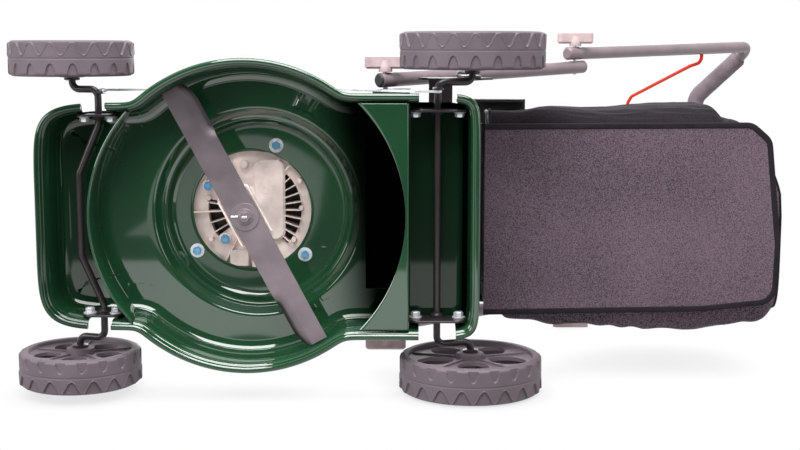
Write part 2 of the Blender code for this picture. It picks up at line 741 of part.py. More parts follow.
def blade_mesh():
    """A flat bar that tapers at its tips, its trailing edges bent up into sails."""
    half, wide = BLADE_LENGTH / 2, BLADE_WIDTH / 2
    stations = [-half, -half + 0.012, -0.150, -SAIL_START, -0.080, -0.030,
                0.030, 0.080, SAIL_START, 0.150, half - 0.012, half]
    build = bmesh.new()
    rows = []
    for along in stations:
        reach = abs(along)
        tip = max(0.0, (reach - (half - 0.012)) / 0.012)
        front = wide - 0.010 * tip
        back = -wide + 0.004 * tip
        lift = SAIL_LIFT * min(1.0, max(0.0, (reach - SAIL_START) / 0.030))
        side = -1 if along > 0 else 1
        profile = [(front, 0.0012), (front - 0.007, BLADE_THICKNESS),
                   (-wide * 0.35, BLADE_THICKNESS), (back, BLADE_THICKNESS + lift),
                   (back, lift), (-wide * 0.35, 0.0), (front, 0.0)]
        row = [build.verts.new((along, side * across, height)) for across, height in profile]
        rows.append(row if side < 0 else [row[i] for i in (3, 2, 1, 0, 6, 5, 4)])
    for before, after in zip(rows, rows[1:]):
        for index in range(len(before)):
            nxt = (index + 1) % len(before)
            build.faces.new((before[index], before[nxt], after[nxt], after[index]))
    build.faces.new(rows[0])
    build.faces.new(rows[-1][::-1])
    bmesh.ops.triangulate(build, faces=build.faces[:])
    turn = Matrix.Rotation(math.radians(BLADE_ANGLE), 4, "Z")
    bmesh.ops.transform(build, matrix=Matrix.Translation((0, 0, BLADE_Z)) @ turn,
                        verts=build.verts)
    return mesh_from(build)


def blade_pins(low, high, radius, sides=10):
    """Two pins either side of the bolt, along the blade's length."""
    turn = math.radians(BLADE_ANGLE)
    places = [(s * PIN_STEP * math.cos(turn), s * PIN_STEP * math.sin(turn)) for s in (-1, 1)]
    return [cylinder((x, y, low), (x, y, high), radius, sides) for x, y in places]


def make_blade_group(root):
    """All that turns with the crankshaft: blade, its carrier and bolt, shaft and flywheel."""
    spin = body("crankshaft_axis", (0, 0, BLADE_Z), root)
    top = BLADE_Z + BLADE_THICKNESS
    bolt_hole = cylinder((0, 0, 0), (0, 0, 0.10), 0.0052, 14)
    piece("blade", spin, BLADE_STEEL, blade_mesh(),
          cut=[bolt_hole, *blade_pins(0, 0.10, PIN_RADIUS + SEAT_GAP)])
    plate_low = top + SEAT_GAP
    flat = block((-CARRIER_PLATE[0] / 2, -CARRIER_PLATE[1] / 2, plate_low),
                 (CARRIER_PLATE[0] / 2, CARRIER_PLATE[1] / 2, plate_low + 0.006), 0.0015)
    flat = turned_about(flat, (0, 0, 0), BLADE_ANGLE, "Z")
    hub = cylinder((0, 0, plate_low + 0.003), (0, 0, CARRIER_TOP_Z), CARRIER_RADIUS, 20, 0.019)
    socket = cylinder((0, 0, SHAFT_FOOT_Z - SEAT_GAP), (0, 0, 0.2), SHAFT_RADIUS + SEAT_GAP, 20)
    piece("blade_carrier", spin, ALUMINIUM, flat,
          add=[hub, *blade_pins(BLADE_Z - 0.0015, plate_low + 0.003, PIN_RADIUS)],
          cut=[socket, cylinder((0, 0, 0), (0, 0, 0.10), 0.0052, 14)])
    washer = turned([(0.0052, BLADE_Z - SEAT_GAP - 0.003), (0.0052, BLADE_Z - SEAT_GAP),
                     (WASHER_RADIUS, BLADE_Z - SEAT_GAP),
                     (WASHER_RADIUS + 0.0005, BLADE_Z - SEAT_GAP - 0.0012),
                     (0.014, BLADE_Z - SEAT_GAP - 0.003)], 24, closed=True)
    piece("blade_washer", spin, BLADE_STEEL, washer)
    head_top = BLADE_Z - 2 * SEAT_GAP - 0.003
    piece("blade_bolt", spin, ZINC,
          cylinder((0, 0, head_top - 0.006), (0, 0, head_top), 0.0085, 6),
          add=[cylinder((0, 0, head_top - 0.002), (0, 0, SHAFT_FOOT_Z + 0.014), 0.0048, 14)])
    shaft = turned([(0, SHAFT_FOOT_Z), (SHAFT_RADIUS, SHAFT_FOOT_Z), (SHAFT_RADIUS, 0.150),
                    (0.0125, 0.152), (0.0125, CASE_TOP_Z + 0.010), (0.0090, CASE_TOP_Z + 0.016),
                    (0.0090, FLYWHEEL_Z + 0.040), (0, FLYWHEEL_Z + 0.040)], 20)
    piece("crankshaft", spin, ZINC, shaft,
          cut=[cylinder((0, 0, 0), (0, 0, SHAFT_FOOT_Z + 0.016), 0.0048 + SEAT_GAP, 14)])
    fly = turned([(0.0090 + SEAT_GAP, FLYWHEEL_Z), (0.0090 + SEAT_GAP, FLYWHEEL_Z + 0.018),
                  (0.030, FLYWHEEL_Z + 0.018), (0.034, FLYWHEEL_Z + 0.010),
                  (FLYWHEEL_RADIUS, FLYWHEEL_Z + 0.010), (FLYWHEEL_RADIUS, FLYWHEEL_Z - 0.006),
                  (FLYWHEEL_RADIUS - 0.010, FLYWHEEL_Z - 0.006),
                  (FLYWHEEL_RADIUS - 0.012, FLYWHEEL_Z)], 24, closed=True)
    vanes = []
    for index in range(FAN_BLADES):
        vane = block((0.044, -0.0012, FLYWHEEL_Z + 0.008),
                     (FLYWHEEL_RADIUS - 0.004, 0.0012, FLYWHEEL_Z + 0.026))
        vane = turned_about(vane, (0.044, 0, 0), 22.0, "Z")
        vanes.append(turned_about(vane, (0, 0, 0), 360.0 * index / FAN_BLADES, "Z"))
    piece("flywheel_fan", spin, ALUMINIUM, fly, add=vanes)


def wheel_mesh(radius, width):
    """A moulded wheel, its axis along Y and its inner face at y = 0."""
    inner, outer = RIM_WALL, 0.006
    profile = [(WHEEL_BORE, -0.002), (HUB_RADIUS, -0.002), (HUB_RADIUS + 0.001, DISC_INSET),
               (radius - inner, DISC_INSET), (radius - inner, 0.002),
               (radius - outer, 0.0), (radius, 0.005), (radius, width - 0.005),
               (radius - outer, width), (radius - inner, width - 0.002),
               (radius - inner, DISC_INSET + DISC_THICKNESS),
               (HUB_RADIUS, DISC_INSET + DISC_THICKNESS), (HUB_RADIUS - 0.002, width - HUB_RECESS),
               (WHEEL_BORE, width - HUB_RECESS)]
    return turned(profile, WHEEL_STEPS, closed=True)


def wheel_windows(radius, width):
    """The almond-shaped openings in the wheel's disc, as cutters along Z."""
    middle = (HUB_RADIUS + radius - RIM_WALL) / 2
    depth = (radius - RIM_WALL - HUB_RADIUS) / 2 - 0.007
    cutters = []
    for index in range(WINDOWS):
        loop = []
        for point in range(10):
            turn = 2 * math.pi * point / 10
            along = math.cos(turn) * WINDOW_HALF_LENGTH * radius / REAR_WHEEL_RADIUS
            across = math.copysign(abs(math.sin(turn)) ** 1.4, math.sin(turn)) * depth
            loop.append((middle + across, along))
        cutter = plate(loop, 2 * (DISC_INSET + DISC_THICKNESS), offset=DISC_INSET)
        cutters.append(turned_about(cutter, (0, 0, 0), 360.0 * index / WINDOWS + 20.0, "Z"))
    return cutters


def placed_wheel(mesh, x, inner_y, z, side):
    """A shape made along Z stood on edge at a wheel's place, with a flat facet underneath."""
    build = bmesh.new()
    build.from_mesh(mesh)
    half_facet = Matrix.Rotation(math.pi / WHEEL_STEPS, 4, "Z")
    stand = Matrix.Rotation(-math.pi / 2, 4, "X")
    bmesh.ops.transform(build, matrix=Matrix.Translation((x, inner_y, z)) @ stand @ half_facet,
                        verts=build.verts)
    made = mesh_from(build)
    return made if side > 0 else mirrored(made)


def make_wheels(front_axle, rear_axle):
    for end, parent, radius, width, x, inner_y, z in (
            ("front", front_axle, FRONT_WHEEL_RADIUS, FRONT_WHEEL_WIDTH,
             FRONT_AXLE_X, FRONT_TRACK_INNER, FRONT_AXLE_Z),
            ("rear", rear_axle, REAR_WHEEL_RADIUS, REAR_WHEEL_WIDTH,
             REAR_AXLE_X, REAR_TRACK_INNER, REAR_AXLE_Z)):
        for side, name in ((1, "left"), (-1, "right")):
            axis = body(f"wheel_{end}_{name}_axis", (x, side * (inner_y + width / 2), z), parent)
            cutters = [placed_wheel(c, x, inner_y, z, side) for c in wheel_windows(radius, width)]
            piece(f"wheel_{end}_{name}", axis, WHEEL_PLASTIC,
                  placed_wheel(wheel_mesh(radius, width), x, inner_y, z, side), cut=cutters)


def axle_path(pivot_x, pivot_z, wheel_x, wheel_z, arm_y, end_y, bracket_y, bow):
    """Half of an axle rod from its wheel end to the middle: out, crank, through, bow."""
    path = [(wheel_x, end_y, wheel_z), (wheel_x, arm_y, wheel_z), (pivot_x, arm_y, pivot_z)]
    if bow:
        path += [(pivot_x, bracket_y - 0.012, pivot_z),
                 (pivot_x + bow, BOW_HALF, pivot_z)]
    return path


def make_axle(parent, name, path, wheel_x, wheel_z, inner_y, width, extra):
    """A bent rod, with a flange inside each wheel and a nut outside it."""
    whole = path + [(x, -y, z) for x, y, z in reversed(path)]
    rod = tube(whole, ROD_RADIUS, 2, CRANK_BEND, 3)
    rings = []
    for side in (-1, 1):
        face, out = inner_y - 0.002 - SEAT_GAP, inner_y + width - HUB_RECESS + SEAT_GAP
        for start, reach, radius, sides in ((face - 0.004, 0.004, FLANGE_RADIUS, 16),
                                            (out, NUT_LENGTH, NUT_RADIUS, 6)):
            rings.append(cylinder((wheel_x, side * start, wheel_z),
                                  (wheel_x, side * (start + reach), wheel_z), radius, sides))
    piece(name, parent, BLACK_STEEL, rod, add=[*rings, *extra])


def strap(points, width, thickness, y):
    """A flat strip in the XZ plane with rounded ends, along a path of (x, z) points."""
    half = width / 2
    left, right = [], []
    for index, point in enumerate(points):
        before = Vector(points[max(index - 1, 0)])
        after = Vector(points[min(index + 1, len(points) - 1)])
        along = (after - before).normalized()
        side = Vector((-along.y, along.x)) * half
        left.append(tuple(Vector(point) + side))
        right.append(tuple(Vector(point) - side))
    first = math.degrees(math.atan2(points[1][1] - points[0][1], points[1][0] - points[0][0]))
    last = math.degrees(math.atan2(points[-1][1] - points[-2][1], points[-1][0] - points[-2][0]))
    start = circle_points(points[0], half, 7, first - 90, -180)[1:-1]
    end = circle_points(points[-1], half, 7, last + 90, -180)[1:-1]
    loop = left + end + right[::-1] + start
    return plate(loop, thickness, "XZ", y)


def make_axles(root):
    """Both cranked axles with their wheels, the height lever and the link between them."""
    front = body("front_axle_pivot", (FRONT_PIVOT_X, 0, FRONT_PIVOT_Z), root)
    rear = body("rear_axle_pivot", (REAR_PIVOT_X, 0, REAR_PIVOT_Z), root)
    end_y = FRONT_TRACK_INNER + FRONT_WHEEL_WIDTH - 0.002
    path = axle_path(FRONT_PIVOT_X, FRONT_PIVOT_Z, FRONT_AXLE_X, FRONT_AXLE_Z, FRONT_ARM_Y,
                     end_y, 0.140, FRONT_BOW)
    tab = strap([(FRONT_PIVOT_X, FRONT_PIVOT_Z), (FRONT_PIVOT_X, FRONT_PIVOT_Z + FRONT_TAB)],
                0.014, TAB_THICKNESS, FRONT_TAB_Y)
    pin_z = FRONT_PIVOT_Z + FRONT_TAB
    pin = cylinder((FRONT_PIVOT_X, FRONT_TAB_Y, pin_z),
                   (FRONT_PIVOT_X, LINK_Y + LINK_THICKNESS / 2 + 0.001, pin_z),
                   LINK_PIN_RADIUS, 12)
    make_axle(front, "front_axle", path, FRONT_AXLE_X, FRONT_AXLE_Z, FRONT_TRACK_INNER,
              FRONT_WHEEL_WIDTH, [tab, pin])
    end_y = REAR_TRACK_INNER + REAR_WHEEL_WIDTH - 0.002
    path = axle_path(REAR_PIVOT_X, REAR_PIVOT_Z, REAR_AXLE_X, REAR_AXLE_Z, REAR_ARM_Y,
                     end_y, 0.150, 0.0)
    tab = strap([(REAR_PIVOT_X, REAR_PIVOT_Z), (REAR_PIVOT_X, REAR_PIVOT_Z - REAR_TAB)],
                0.014, TAB_THICKNESS, REAR_TAB_Y)
    pin_z = REAR_PIVOT_Z - REAR_TAB
    pin = cylinder((REAR_PIVOT_X, REAR_TAB_Y, pin_z),
                   (REAR_PIVOT_X, LINK_Y - LINK_THICKNESS / 2 - 0.001, pin_z),
                   LINK_PIN_RADIUS, 12)
    make_axle(rear, "rear_axle", path, REAR_AXLE_X, REAR_AXLE_Z, REAR_TRACK_INNER,
              REAR_WHEEL_WIDTH, [tab, pin])
    return front, rear


def make_lever(rear):
    """The height lever: a strip seated on the crank, up beside the wheel to its knob."""
    lean = math.radians(LEVER_LEAN)
    top = (REAR_PIVOT_X - LEVER_LENGTH * math.sin(lean),
           REAR_PIVOT_Z + LEVER_LENGTH * math.cos(lean))
    strip = strap([(REAR_AXLE_X, REAR_AXLE_Z), top], 0.025, LEVER_THICKNESS, LEVER_Y)
    middle = Vector(top)
    knob = turned([(0, -0.006), (LEVER_KNOB_RADIUS - 0.002, -0.006), (LEVER_KNOB_RADIUS, -0.003),
                   (LEVER_KNOB_RADIUS, 0.003), (LEVER_KNOB_RADIUS - 0.002, 0.006), (0, 0.006)],
                  16, (middle.x, LEVER_Y, middle.y + 0.004), "Y")
    hole = cylinder((REAR_AXLE_X, LEVER_Y - 0.01, REAR_AXLE_Z),
                    (REAR_AXLE_X, LEVER_Y + 0.01, REAR_AXLE_Z), ROD_RADIUS + 0.0050, 16)
    piece("height_lever", rear, BLACK_STEEL, strip, add=[knob], cut=[hole])


def make_link(rear):
    """The strip that carries the lever's motion over the deck's shoulder to the front axle."""
    pin_z = REAR_PIVOT_Z - REAR_TAB
    pivot = body("link_pivot", (REAR_PIVOT_X, LINK_Y, pin_z), rear)
    front_z = FRONT_PIVOT_Z + FRONT_TAB
    route = [(REAR_PIVOT_X, pin_z), (REAR_PIVOT_X + 0.030, pin_z + 0.004), (-0.150, 0.112),
             (-0.120, LINK_Z), (0.125, LINK_Z), (0.150, 0.118),
             (FRONT_PIVOT_X - 0.020, front_z), (FRONT_PIVOT_X, front_z)]
    slot = [(FRONT_PIVOT_X + x, front_z + z) for x, z in
            circle_points((0, SLOT_UP), LINK_PIN_RADIUS + RUN_GAP, 7, 0, 180)
            + circle_points((0, -SLOT_DOWN), LINK_PIN_RADIUS + RUN_GAP, 7, 180, 180)]
    eye = strap([(FRONT_PIVOT_X, front_z - SLOT_DOWN - 0.002),
                 (FRONT_PIVOT_X, front_z + SLOT_UP + 0.002)], 0.0135, LINK_THICKNESS, LINK_Y)
    base = strap(route, LINK_WIDTH, LINK_THICKNESS, LINK_Y)
    hole = cylinder((REAR_PIVOT_X, LINK_Y - 0.02, pin_z), (REAR_PIVOT_X, LINK_Y + 0.02, pin_z),
                    LINK_PIN_RADIUS + SEAT_GAP, 12)
    piece("height_link", pivot, ZINC, base, add=[eye],
          cut=[hole, plate(slot, 0.02, "XZ", LINK_Y)])


def make_crankcase(root):
    """The cast sump and crankcase, with the ribbed floor that shows through the deck."""
    foot = ENGINE_PLATE_Z + SEAT_GAP
    case = turned([(0.0125 + RUN_GAP, foot + 0.004), (0.026, foot + 0.002), (0.030, foot + 0.008),
                   (0.094, foot + 0.008), (0.096, foot), (0.101, foot),
                   (0.101, foot + FLANGE_THICKNESS), (CASE_RADIUS + 0.004, foot + 0.014),
                   (CASE_RADIUS, foot + 0.020), (CASE_RADIUS, CASE_TOP_Z - 0.006),
                   (CASE_RADIUS - 0.008, CASE_TOP_Z), (0.0125 + RUN_GAP, CASE_TOP_Z)],
                  30, closed=True)
    lugs = [cylinder((x, y, foot), (x, y, foot + FLANGE_THICKNESS), LUG_RADIUS, 12)
            for x, y in engine_bolts()]
    panel = block((-0.050, -0.062, foot + 0.001), (-0.004, 0.060, foot + 0.012), 0.004, 2)
    deck_face = block((0.030, -0.040, CYLINDER_Z - 0.040), (0.0735, 0.040, CYLINDER_Z + 0.028))
    mount = cylinder((0.060, 0, CYLINDER_Z), (CYLINDER_START_X, 0, CYLINDER_Z),
                     CYLINDER_RADIUS + 0.006, 24)
    boss = cylinder((DIPSTICK[0], DIPSTICK[1], foot + 0.006),
                    (DIPSTICK[0], DIPSTICK[1], DIPSTICK[2]), 0.014, 14)
    pockets = []
    for index in range(8):
        pocket = block((-0.084, -0.0042, foot - 0.01), (-0.054, 0.0042, foot + FIN_DEPTH))
        pockets.append(turned_about(pocket, (0, 0, 0), -56.0 + 16.0 * index, "Z"))
    for index in range(4):
        pocket = block((0.040, -0.0042, foot - 0.01), (0.062, 0.0042, foot + FIN_DEPTH - 0.008))
        pockets.append(turned_about(pocket, (0, 0, 0), -30.0 + 17.0 * index, "Z"))
    holes = [cylinder((x, y, 0.1), (x, y, foot + 0.008), 0.0042, 10) for x, y in engine_bolts()]
    neck = cylinder((DIPSTICK[0], DIPSTICK[1], foot + 0.012),
                    (DIPSTICK[0], DIPSTICK[1], 0.3), 0.0085, 12)
    bore = cylinder((0, 0, 0.1), (0, 0, 0.3), 0.0125 + RUN_GAP, 24)
    piece("crankcase", root, ALUMINIUM, case, add=[*lugs, panel, deck_face, mount, boss],
          cut=[*pockets, *holes, neck, bore])


def make_engine_bolts(root):
    foot = ENGINE_PLATE_Z + SEAT_GAP
    for index, (x, y) in enumerate(engine_bolts()):
        under = ENGINE_PLATE_Z - SHEET - 2 * SEAT_GAP
        shank = cylinder((x, y, under - 0.002), (x, y, foot + 0.007), 0.0039, 10)
        head = cylinder((x, y, under - 0.008), (x, y, under - 0.0015), 0.0065, 6)
        washer = cylinder((x, y, under - 0.002), (x, y, under - 0.0002), 0.0085, 16)
        piece(f"engine_bolt_{index + 1}", root, ZINC, washer, add=[head, shank])


def cooling_fins(start, count, half_y):
    """A row of square cooling fins along +X."""
    places = [start + FIN_PITCH * index for index in range(count)]
    return [block((x, -half_y, FIN_FOOT_Z), (x + FIN_THICKNESS, half_y, FIN_TOP_Z))
            for x in places]


def make_cylinder(root):
    """The finned barrel, the head on its end with the plug's well, and the rocker cover."""
    start = CYLINDER_START_X + SEAT_GAP
    end = start + FIN_PITCH * CYLINDER_FINS
    core = cylinder((start, 0, CYLINDER_Z), (end, 0, CYLINDER_Z), CYLINDER_RADIUS, 20)
    piece("cylinder", root, ALUMINIUM, core,
          add=cooling_fins(start + 0.006, CYLINDER_FINS, CYLINDER_FIN))
    head_start = end + SEAT_GAP
    head_end = head_start + HEAD_LENGTH
    core = block((head_start, -0.040, CYLINDER_Z - 0.040),
                 (head_end, 0.040, CYLINDER_Z + 0.040), 0.003)
    well = cylinder((head_start + 0.006, 0.026, CYLINDER_Z - 0.022),
                    (head_end + 0.01, 0.030, CYLINDER_Z - 0.024), 0.0085, 12)
    piece("cylinder_head", root, ALUMINIUM, core,
          add=cooling_fins(head_start + 0.004, 2, CYLINDER_FIN - 0.002), cut=[well])
    cover_start = head_end + SEAT_GAP
    cover = block((cover_start, -0.034, CYLINDER_Z - 0.008),
                  (cover_start + ROCKER_LENGTH, 0.034, CYLINDER_Z + 0.036), 0.006, 2)
    piece("rocker_cover", root, ALUMINIUM, cover)
    return head_start, head_end


def make_spark_plug(root, head_start, head_end):
    """The plug in its well, and the rubber cap over its tip."""
    first = Vector((head_start + 0.0068, 0.0261, CYLINDER_Z - 0.0221))
    along = Vector((1.0, 0.125, -0.0625)).normalized()
    seat = first + along * (head_end - head_start)
    tip = seat + along * 0.016
    piece("spark_plug", root, ZINC, cylinder(first, seat, 0.0055, 12),
          add=[cylinder(seat - along * 0.004, seat + along * 0.004, 0.0078, 6),
               cylinder(seat, tip, 0.0038, 10)])
    cap = cylinder(seat + along * 0.0045, seat + along * 0.024, 0.0082, 14, 0.0070)
    hole = cylinder(seat, tip + along * 0.0005, 0.0038 + SEAT_GAP, 10)
    piece("spark_plug_cap", root, BLACK_PLASTIC, cap, cut=[hole])


def make_muffler(root):
    """The muffler on its pipe beside the cylinder, and the slotted guard over it."""
    low, high = Vector(MUFFLER_LOW), Vector(MUFFLER_HIGH)
    middle = (low + high) / 2
    pipe = cylinder((middle.x, high.y - 0.004, CYLINDER_Z - 0.006),
                    (middle.x, -CYLINDER_FIN - SEAT_GAP, CYLINDER_Z - 0.006), 0.011, 14)
    seam = block((low.x - 0.0025, middle.y - 0.0012, low.z - 0.0025),
                 (high.x + 0.0025, middle.y + 0.0012, high.z + 0.0025))
    piece("muffler", root, HOT_STEEL, block(low, high, 0.010, 2), add=[pipe, seam])
    gap, wall = Vector((0.0055, 0.004, 0.0055)), 0.0015
    outer = block(low - gap - Vector((wall,) * 3),
                  high + Vector((gap.x + wall, -0.012, gap.z + wall)), 0.006)
    inner = block(low - gap, high + Vector((gap.x, 0.02, gap.z)), 0.005)
    slots = []
    for index in range(5):
        x = low.x + 0.012 + index * 0.0115
        slots.append(block((x - 0.0025, low.y - 0.02, low.z + 0.010),
                           (x + 0.0025, low.y + 0.01, high.z - 0.008)))
    foot = block((middle.x - 0.008, -0.128, low.z - gap.z - wall - 0.003),
                 (middle.x + 0.008, -0.075, low.z - gap.z - 0.0005))
    leg = block((middle.x - 0.008, -0.090, ENGINE_PLATE_Z - 0.0225),
                (middle.x + 0.008, -0.087, low.z - gap.z - wall))
    piece("muffler_guard", root, BLACK_STEEL, outer, add=[foot, leg], cut=[inner, *slots])


def make_intake(root):
    """The carburettor on the cylinder's left side and the air filter's box beside it."""
    x = (FILTER_LOW[0] + FILTER_HIGH[0]) / 2
    base = block((x - 0.020, CYLINDER_FIN + 0.016, CYLINDER_Z - 0.014),
                 (x + 0.020, FILTER_LOW[1] - 0.006, CYLINDER_Z + 0.018), 0.003)
    throat = cylinder((x, CYLINDER_FIN + SEAT_GAP, CYLINDER_Z),
                      (x, FILTER_LOW[1] - SEAT_GAP, CYLINDER_Z), 0.011, 16)
    bowl = cylinder((x, 0.090, CYLINDER_Z - 0.036), (x, 0.090, CYLINDER_Z - 0.010), 0.014, 18)
    nut = cylinder((x, 0.090, CYLINDER_Z - 0.040), (x, 0.090, CYLINDER_Z - 0.034), 0.005, 6)
    piece("carburettor", root, ALUMINIUM, base, add=[throat, bowl, nut])
    box = block(FILTER_LOW, FILTER_HIGH, 0.010, 2)
    rim = block((FILTER_LOW[0] - 0.002, FILTER_LOW[1] + 0.014, FILTER_LOW[2] - 0.002),
                (FILTER_HIGH[0] + 0.002, FILTER_LOW[1] + 0.019, FILTER_HIGH[2] + 0.002), 0.001)
    slots = [block((FILTER_LOW[0] + 0.016 + 0.012 * i, FILTER_HIGH[1] - 0.004,
                    FILTER_LOW[2] + 0.014),
                   (FILTER_LOW[0] + 0.021 + 0.012 * i, FILTER_HIGH[1] + 0.004,
                    FILTER_HIGH[2] - 0.014)) for i in range(5)]
    piece("air_filter_box", root, BLACK_PLASTIC, box, add=[rim], cut=slots)


def make_tank(root):
    """The fuel tank on its bracket, its neck and the cap that turns on it."""
    low, high = TANK_LOW, TANK_HIGH
    tank = block(low, high, 0.016, 3)
    seam = block((low[0] - 0.002, low[1] - 0.002, 0.200), (high[0] + 0.002, high[1] + 0.002, 0.203),
                 0.001)
    neck = cylinder((FILLER_X, FILLER_Y, high[2] - 0.004), (FILLER_X, FILLER_Y, high[2] + 0.012),
                    0.017, 20)
    inside = cylinder((FILLER_X, FILLER_Y, high[2] - 0.020), (FILLER_X, FILLER_Y, high[2] + 0.02),
                      0.0135, 20)
    arm = block((low[0] + 0.070, CASE_RADIUS - 0.008, 0.196),
                (low[0] + 0.090, low[1] + 0.006, 0.206))
    hollow = cylinder((0, 0, 0.1), (0, 0, 0.3), CASE_RADIUS + SEAT_GAP, 30)
    piece("fuel_tank", root, BLACK_PLASTIC, tank, add=[seam, neck, arm], cut=[inside, hollow])
    turn = body("fuel_cap_axis", (FILLER_X, FILLER_Y, high[2]), root)
    foot = high[2] + 0.0005
    cap = turned([(0, foot + 0.0125), (0.0172 + SEAT_GAP, foot + 0.0125),
                  (0.0172 + SEAT_GAP, foot), (CAP_RADIUS, foot), (CAP_RADIUS, foot + 0.014),
                  (CAP_RADIUS - 0.003, foot + 0.019), (0.008, foot + 0.0205), (0, foot + 0.0205)],
                 18, (FILLER_X, FILLER_Y, 0))
    grips = []
    for index in range(6):
        angle = 2 * math.pi * index / 6
        x, y = FILLER_X + CAP_RADIUS * math.cos(angle), FILLER_Y + CAP_RADIUS * math.sin(angle)
        grips.append(cylinder((x, y, foot - 0.01), (x, y, foot + 0.03), 0.0030, 8))
    piece("fuel_cap", turn, BLACK_PLASTIC, cap, cut=grips)


def make_dipstick(root):
    x, y, z = DIPSTICK
    twist = body("dipstick_axis", DIPSTICK, root)
    stick = turned([(0, z - 0.014), (0.007, z - 0.014), (0.007, z + SEAT_GAP),
                    (0.0145, z + SEAT_GAP), (0.0145, z + 0.006), (0.011, z + 0.009),
                    (0, z + 0.009)], 14, (x, y, 0))
    wing = block((x - 0.013, y - 0.0025, z + 0.007), (x + 0.013, y + 0.0025, z + 0.022), 0.0015)
    piece("oil_dipstick", twist, BLACK_PLASTIC, stick, add=[wing])


def make_blower_housing(root):
    """The cover over the flywheel, with its hood over the cylinder's fins and its three legs."""
    foot, top, reach = HOUSING_FOOT_Z, HOUSING_TOP_Z, HOUSING_RADIUS
    shell = turned([(reach, foot), (reach, top - 0.020), (reach - 0.004, top - 0.008),
                    (reach - 0.014, top), (STARTER_RADIUS - 0.003, top),
                    (STARTER_RADIUS - 0.003, top - 0.002), (reach - 0.015, top - 0.002),
                    (reach - 0.006, top - 0.009), (reach - 0.002, top - 0.021),
                    (reach - 0.002, foot + 0.002), (0.074, foot + 0.002), (0.074, foot)],
                   30, closed=True)
    hood = block((0.060, -0.064, foot), (0.152, 0.064, foot + 0.036), 0.008, 2)
    inside = block((0.050, -0.062, foot - 0.02), (0.150, 0.062, foot + 0.034), 0.007)
    drum = cylinder((0, 0, foot - 0.03), (0, 0, top - 0.022), reach - 0.002, 30)
    legs = [cylinder((LEG_STEP * math.cos(a), LEG_STEP * math.sin(a), CASE_TOP_Z + SEAT_GAP),
                     (LEG_STEP * math.cos(a), LEG_STEP * math.sin(a), foot + 0.001), 0.0045, 10)
            for a in map(math.radians, (75, 180, 285))]
    piece("blower_housing", root, BLACK_PLASTIC, carved(hood, [inside, drum]),
          add=[shell, *legs])


def make_starter(root):
    """The vented starter cover with its post, the pulley on it, and the pull grip."""
    seat, top, reach = HOUSING_TOP_Z + SEAT_GAP, STARTER_TOP_Z, STARTER_RADIUS
    cover = turned([(0, top), (reach - 0.032, top), (reach - 0.012, top - 0.004),
                    (reach - 0.003, top - 0.020), (reach - 0.002, seat + 0.002),
                    (reach + 0.006, seat + 0.002), (reach + 0.006, seat),
                    (reach - 0.0045, seat), (reach - 0.0052, top - 0.021),
                    (reach - 0.0135, top - 0.0062), (reach - 0.032, top - 0.0022),
                    (POST_RADIUS, top - 0.0022), (POST_RADIUS, seat + 0.006),
                    (0, seat + 0.006)], 24)
    slots = []
    for index in range(COVER_SLOTS):
        slot = block((0.026, -0.0030, top - 0.010), (0.044, 0.0030, top + 0.01))
        slots.append(turned_about(slot, (0, 0, 0), 360.0 * index / COVER_SLOTS, "Z"))
    eyelet = cylinder((EYELET_X, ROPE_Y, ROPE_Z), (0.018 - reach, ROPE_Y, ROPE_Z), 0.0090, 14)
    mouth = cylinder((-reach - 0.02, ROPE_Y, ROPE_Z), (-0.055, ROPE_Y, ROPE_Z),
                     ROPE_RADIUS + SEAT_GAP, 8)
    piece("starter_cover", root, BLACK_PLASTIC, cover, add=[eyelet], cut=[mouth, *slots])
    spin = body("recoil_pulley_axis", (0, 0, ROPE_Z), root)
    groove = turned([(POST_RADIUS + RUN_GAP, ROPE_Z - 0.006), (PULLEY_RADIUS, ROPE_Z - 0.006),
                     (PULLEY_RADIUS, ROPE_Z - 0.004), (PULLEY_RADIUS - 0.005, ROPE_Z - 0.001),
                     (PULLEY_RADIUS - 0.005, ROPE_Z + 0.001), (PULLEY_RADIUS, ROPE_Z + 0.004),
                     (PULLEY_RADIUS, ROPE_Z + 0.006), (POST_RADIUS + RUN_GAP, ROPE_Z + 0.006)],
                    20, closed=True)
    piece("recoil_pulley", spin, BLACK_PLASTIC, groove)
    pull = body("starter_grip_slide", (-reach, ROPE_Y, ROPE_Z), root)
    face = EYELET_X - SEAT_GAP
    rope = cylinder((0.030, ROPE_Y, ROPE_Z), (face - 0.004, ROPE_Y, ROPE_Z), ROPE_RADIUS, 8)
    stem = cylinder((face, ROPE_Y, ROPE_Z), (face - 0.016, ROPE_Y, ROPE_Z), 0.0065, 12, 0.0050)
    bar = tube([(face - 0.017, ROPE_Y - 0.032, ROPE_Z - 0.006), (face - 0.015, ROPE_Y, ROPE_Z),
                (face - 0.017, ROPE_Y + 0.032, ROPE_Z - 0.006)], 0.0075, 2, 0.05, 3)
    piece("starter_grip", pull, BLACK_PLASTIC, bar, add=[stem, rope])


def along_handle(start, end, distance):
    start, end = Vector(start), Vector(end)
    return start + (end - start).normalized() * distance


def stand(x_low, x_high, plate_y):
    """The stepped foot that carries an upright plate from the deck's roof past its wall."""
    thick, foot, shelf = BRACKET_THICKNESS, ROOF_Z + SEAT_GAP, STAND_SHELF_Z
    inner = STAND_FOOT_Y + STAND_FLANGE
    outline = [(STAND_FOOT_Y, foot), (inner, foot), (inner, shelf), (plate_y, shelf),
               (plate_y, shelf + thick), (inner - thick, shelf + thick),
               (inner - thick, foot + thick), (STAND_FOOT_Y, foot + thick)]
    return plate(outline, x_high - x_low, "YZ", (x_low + x_high) / 2)


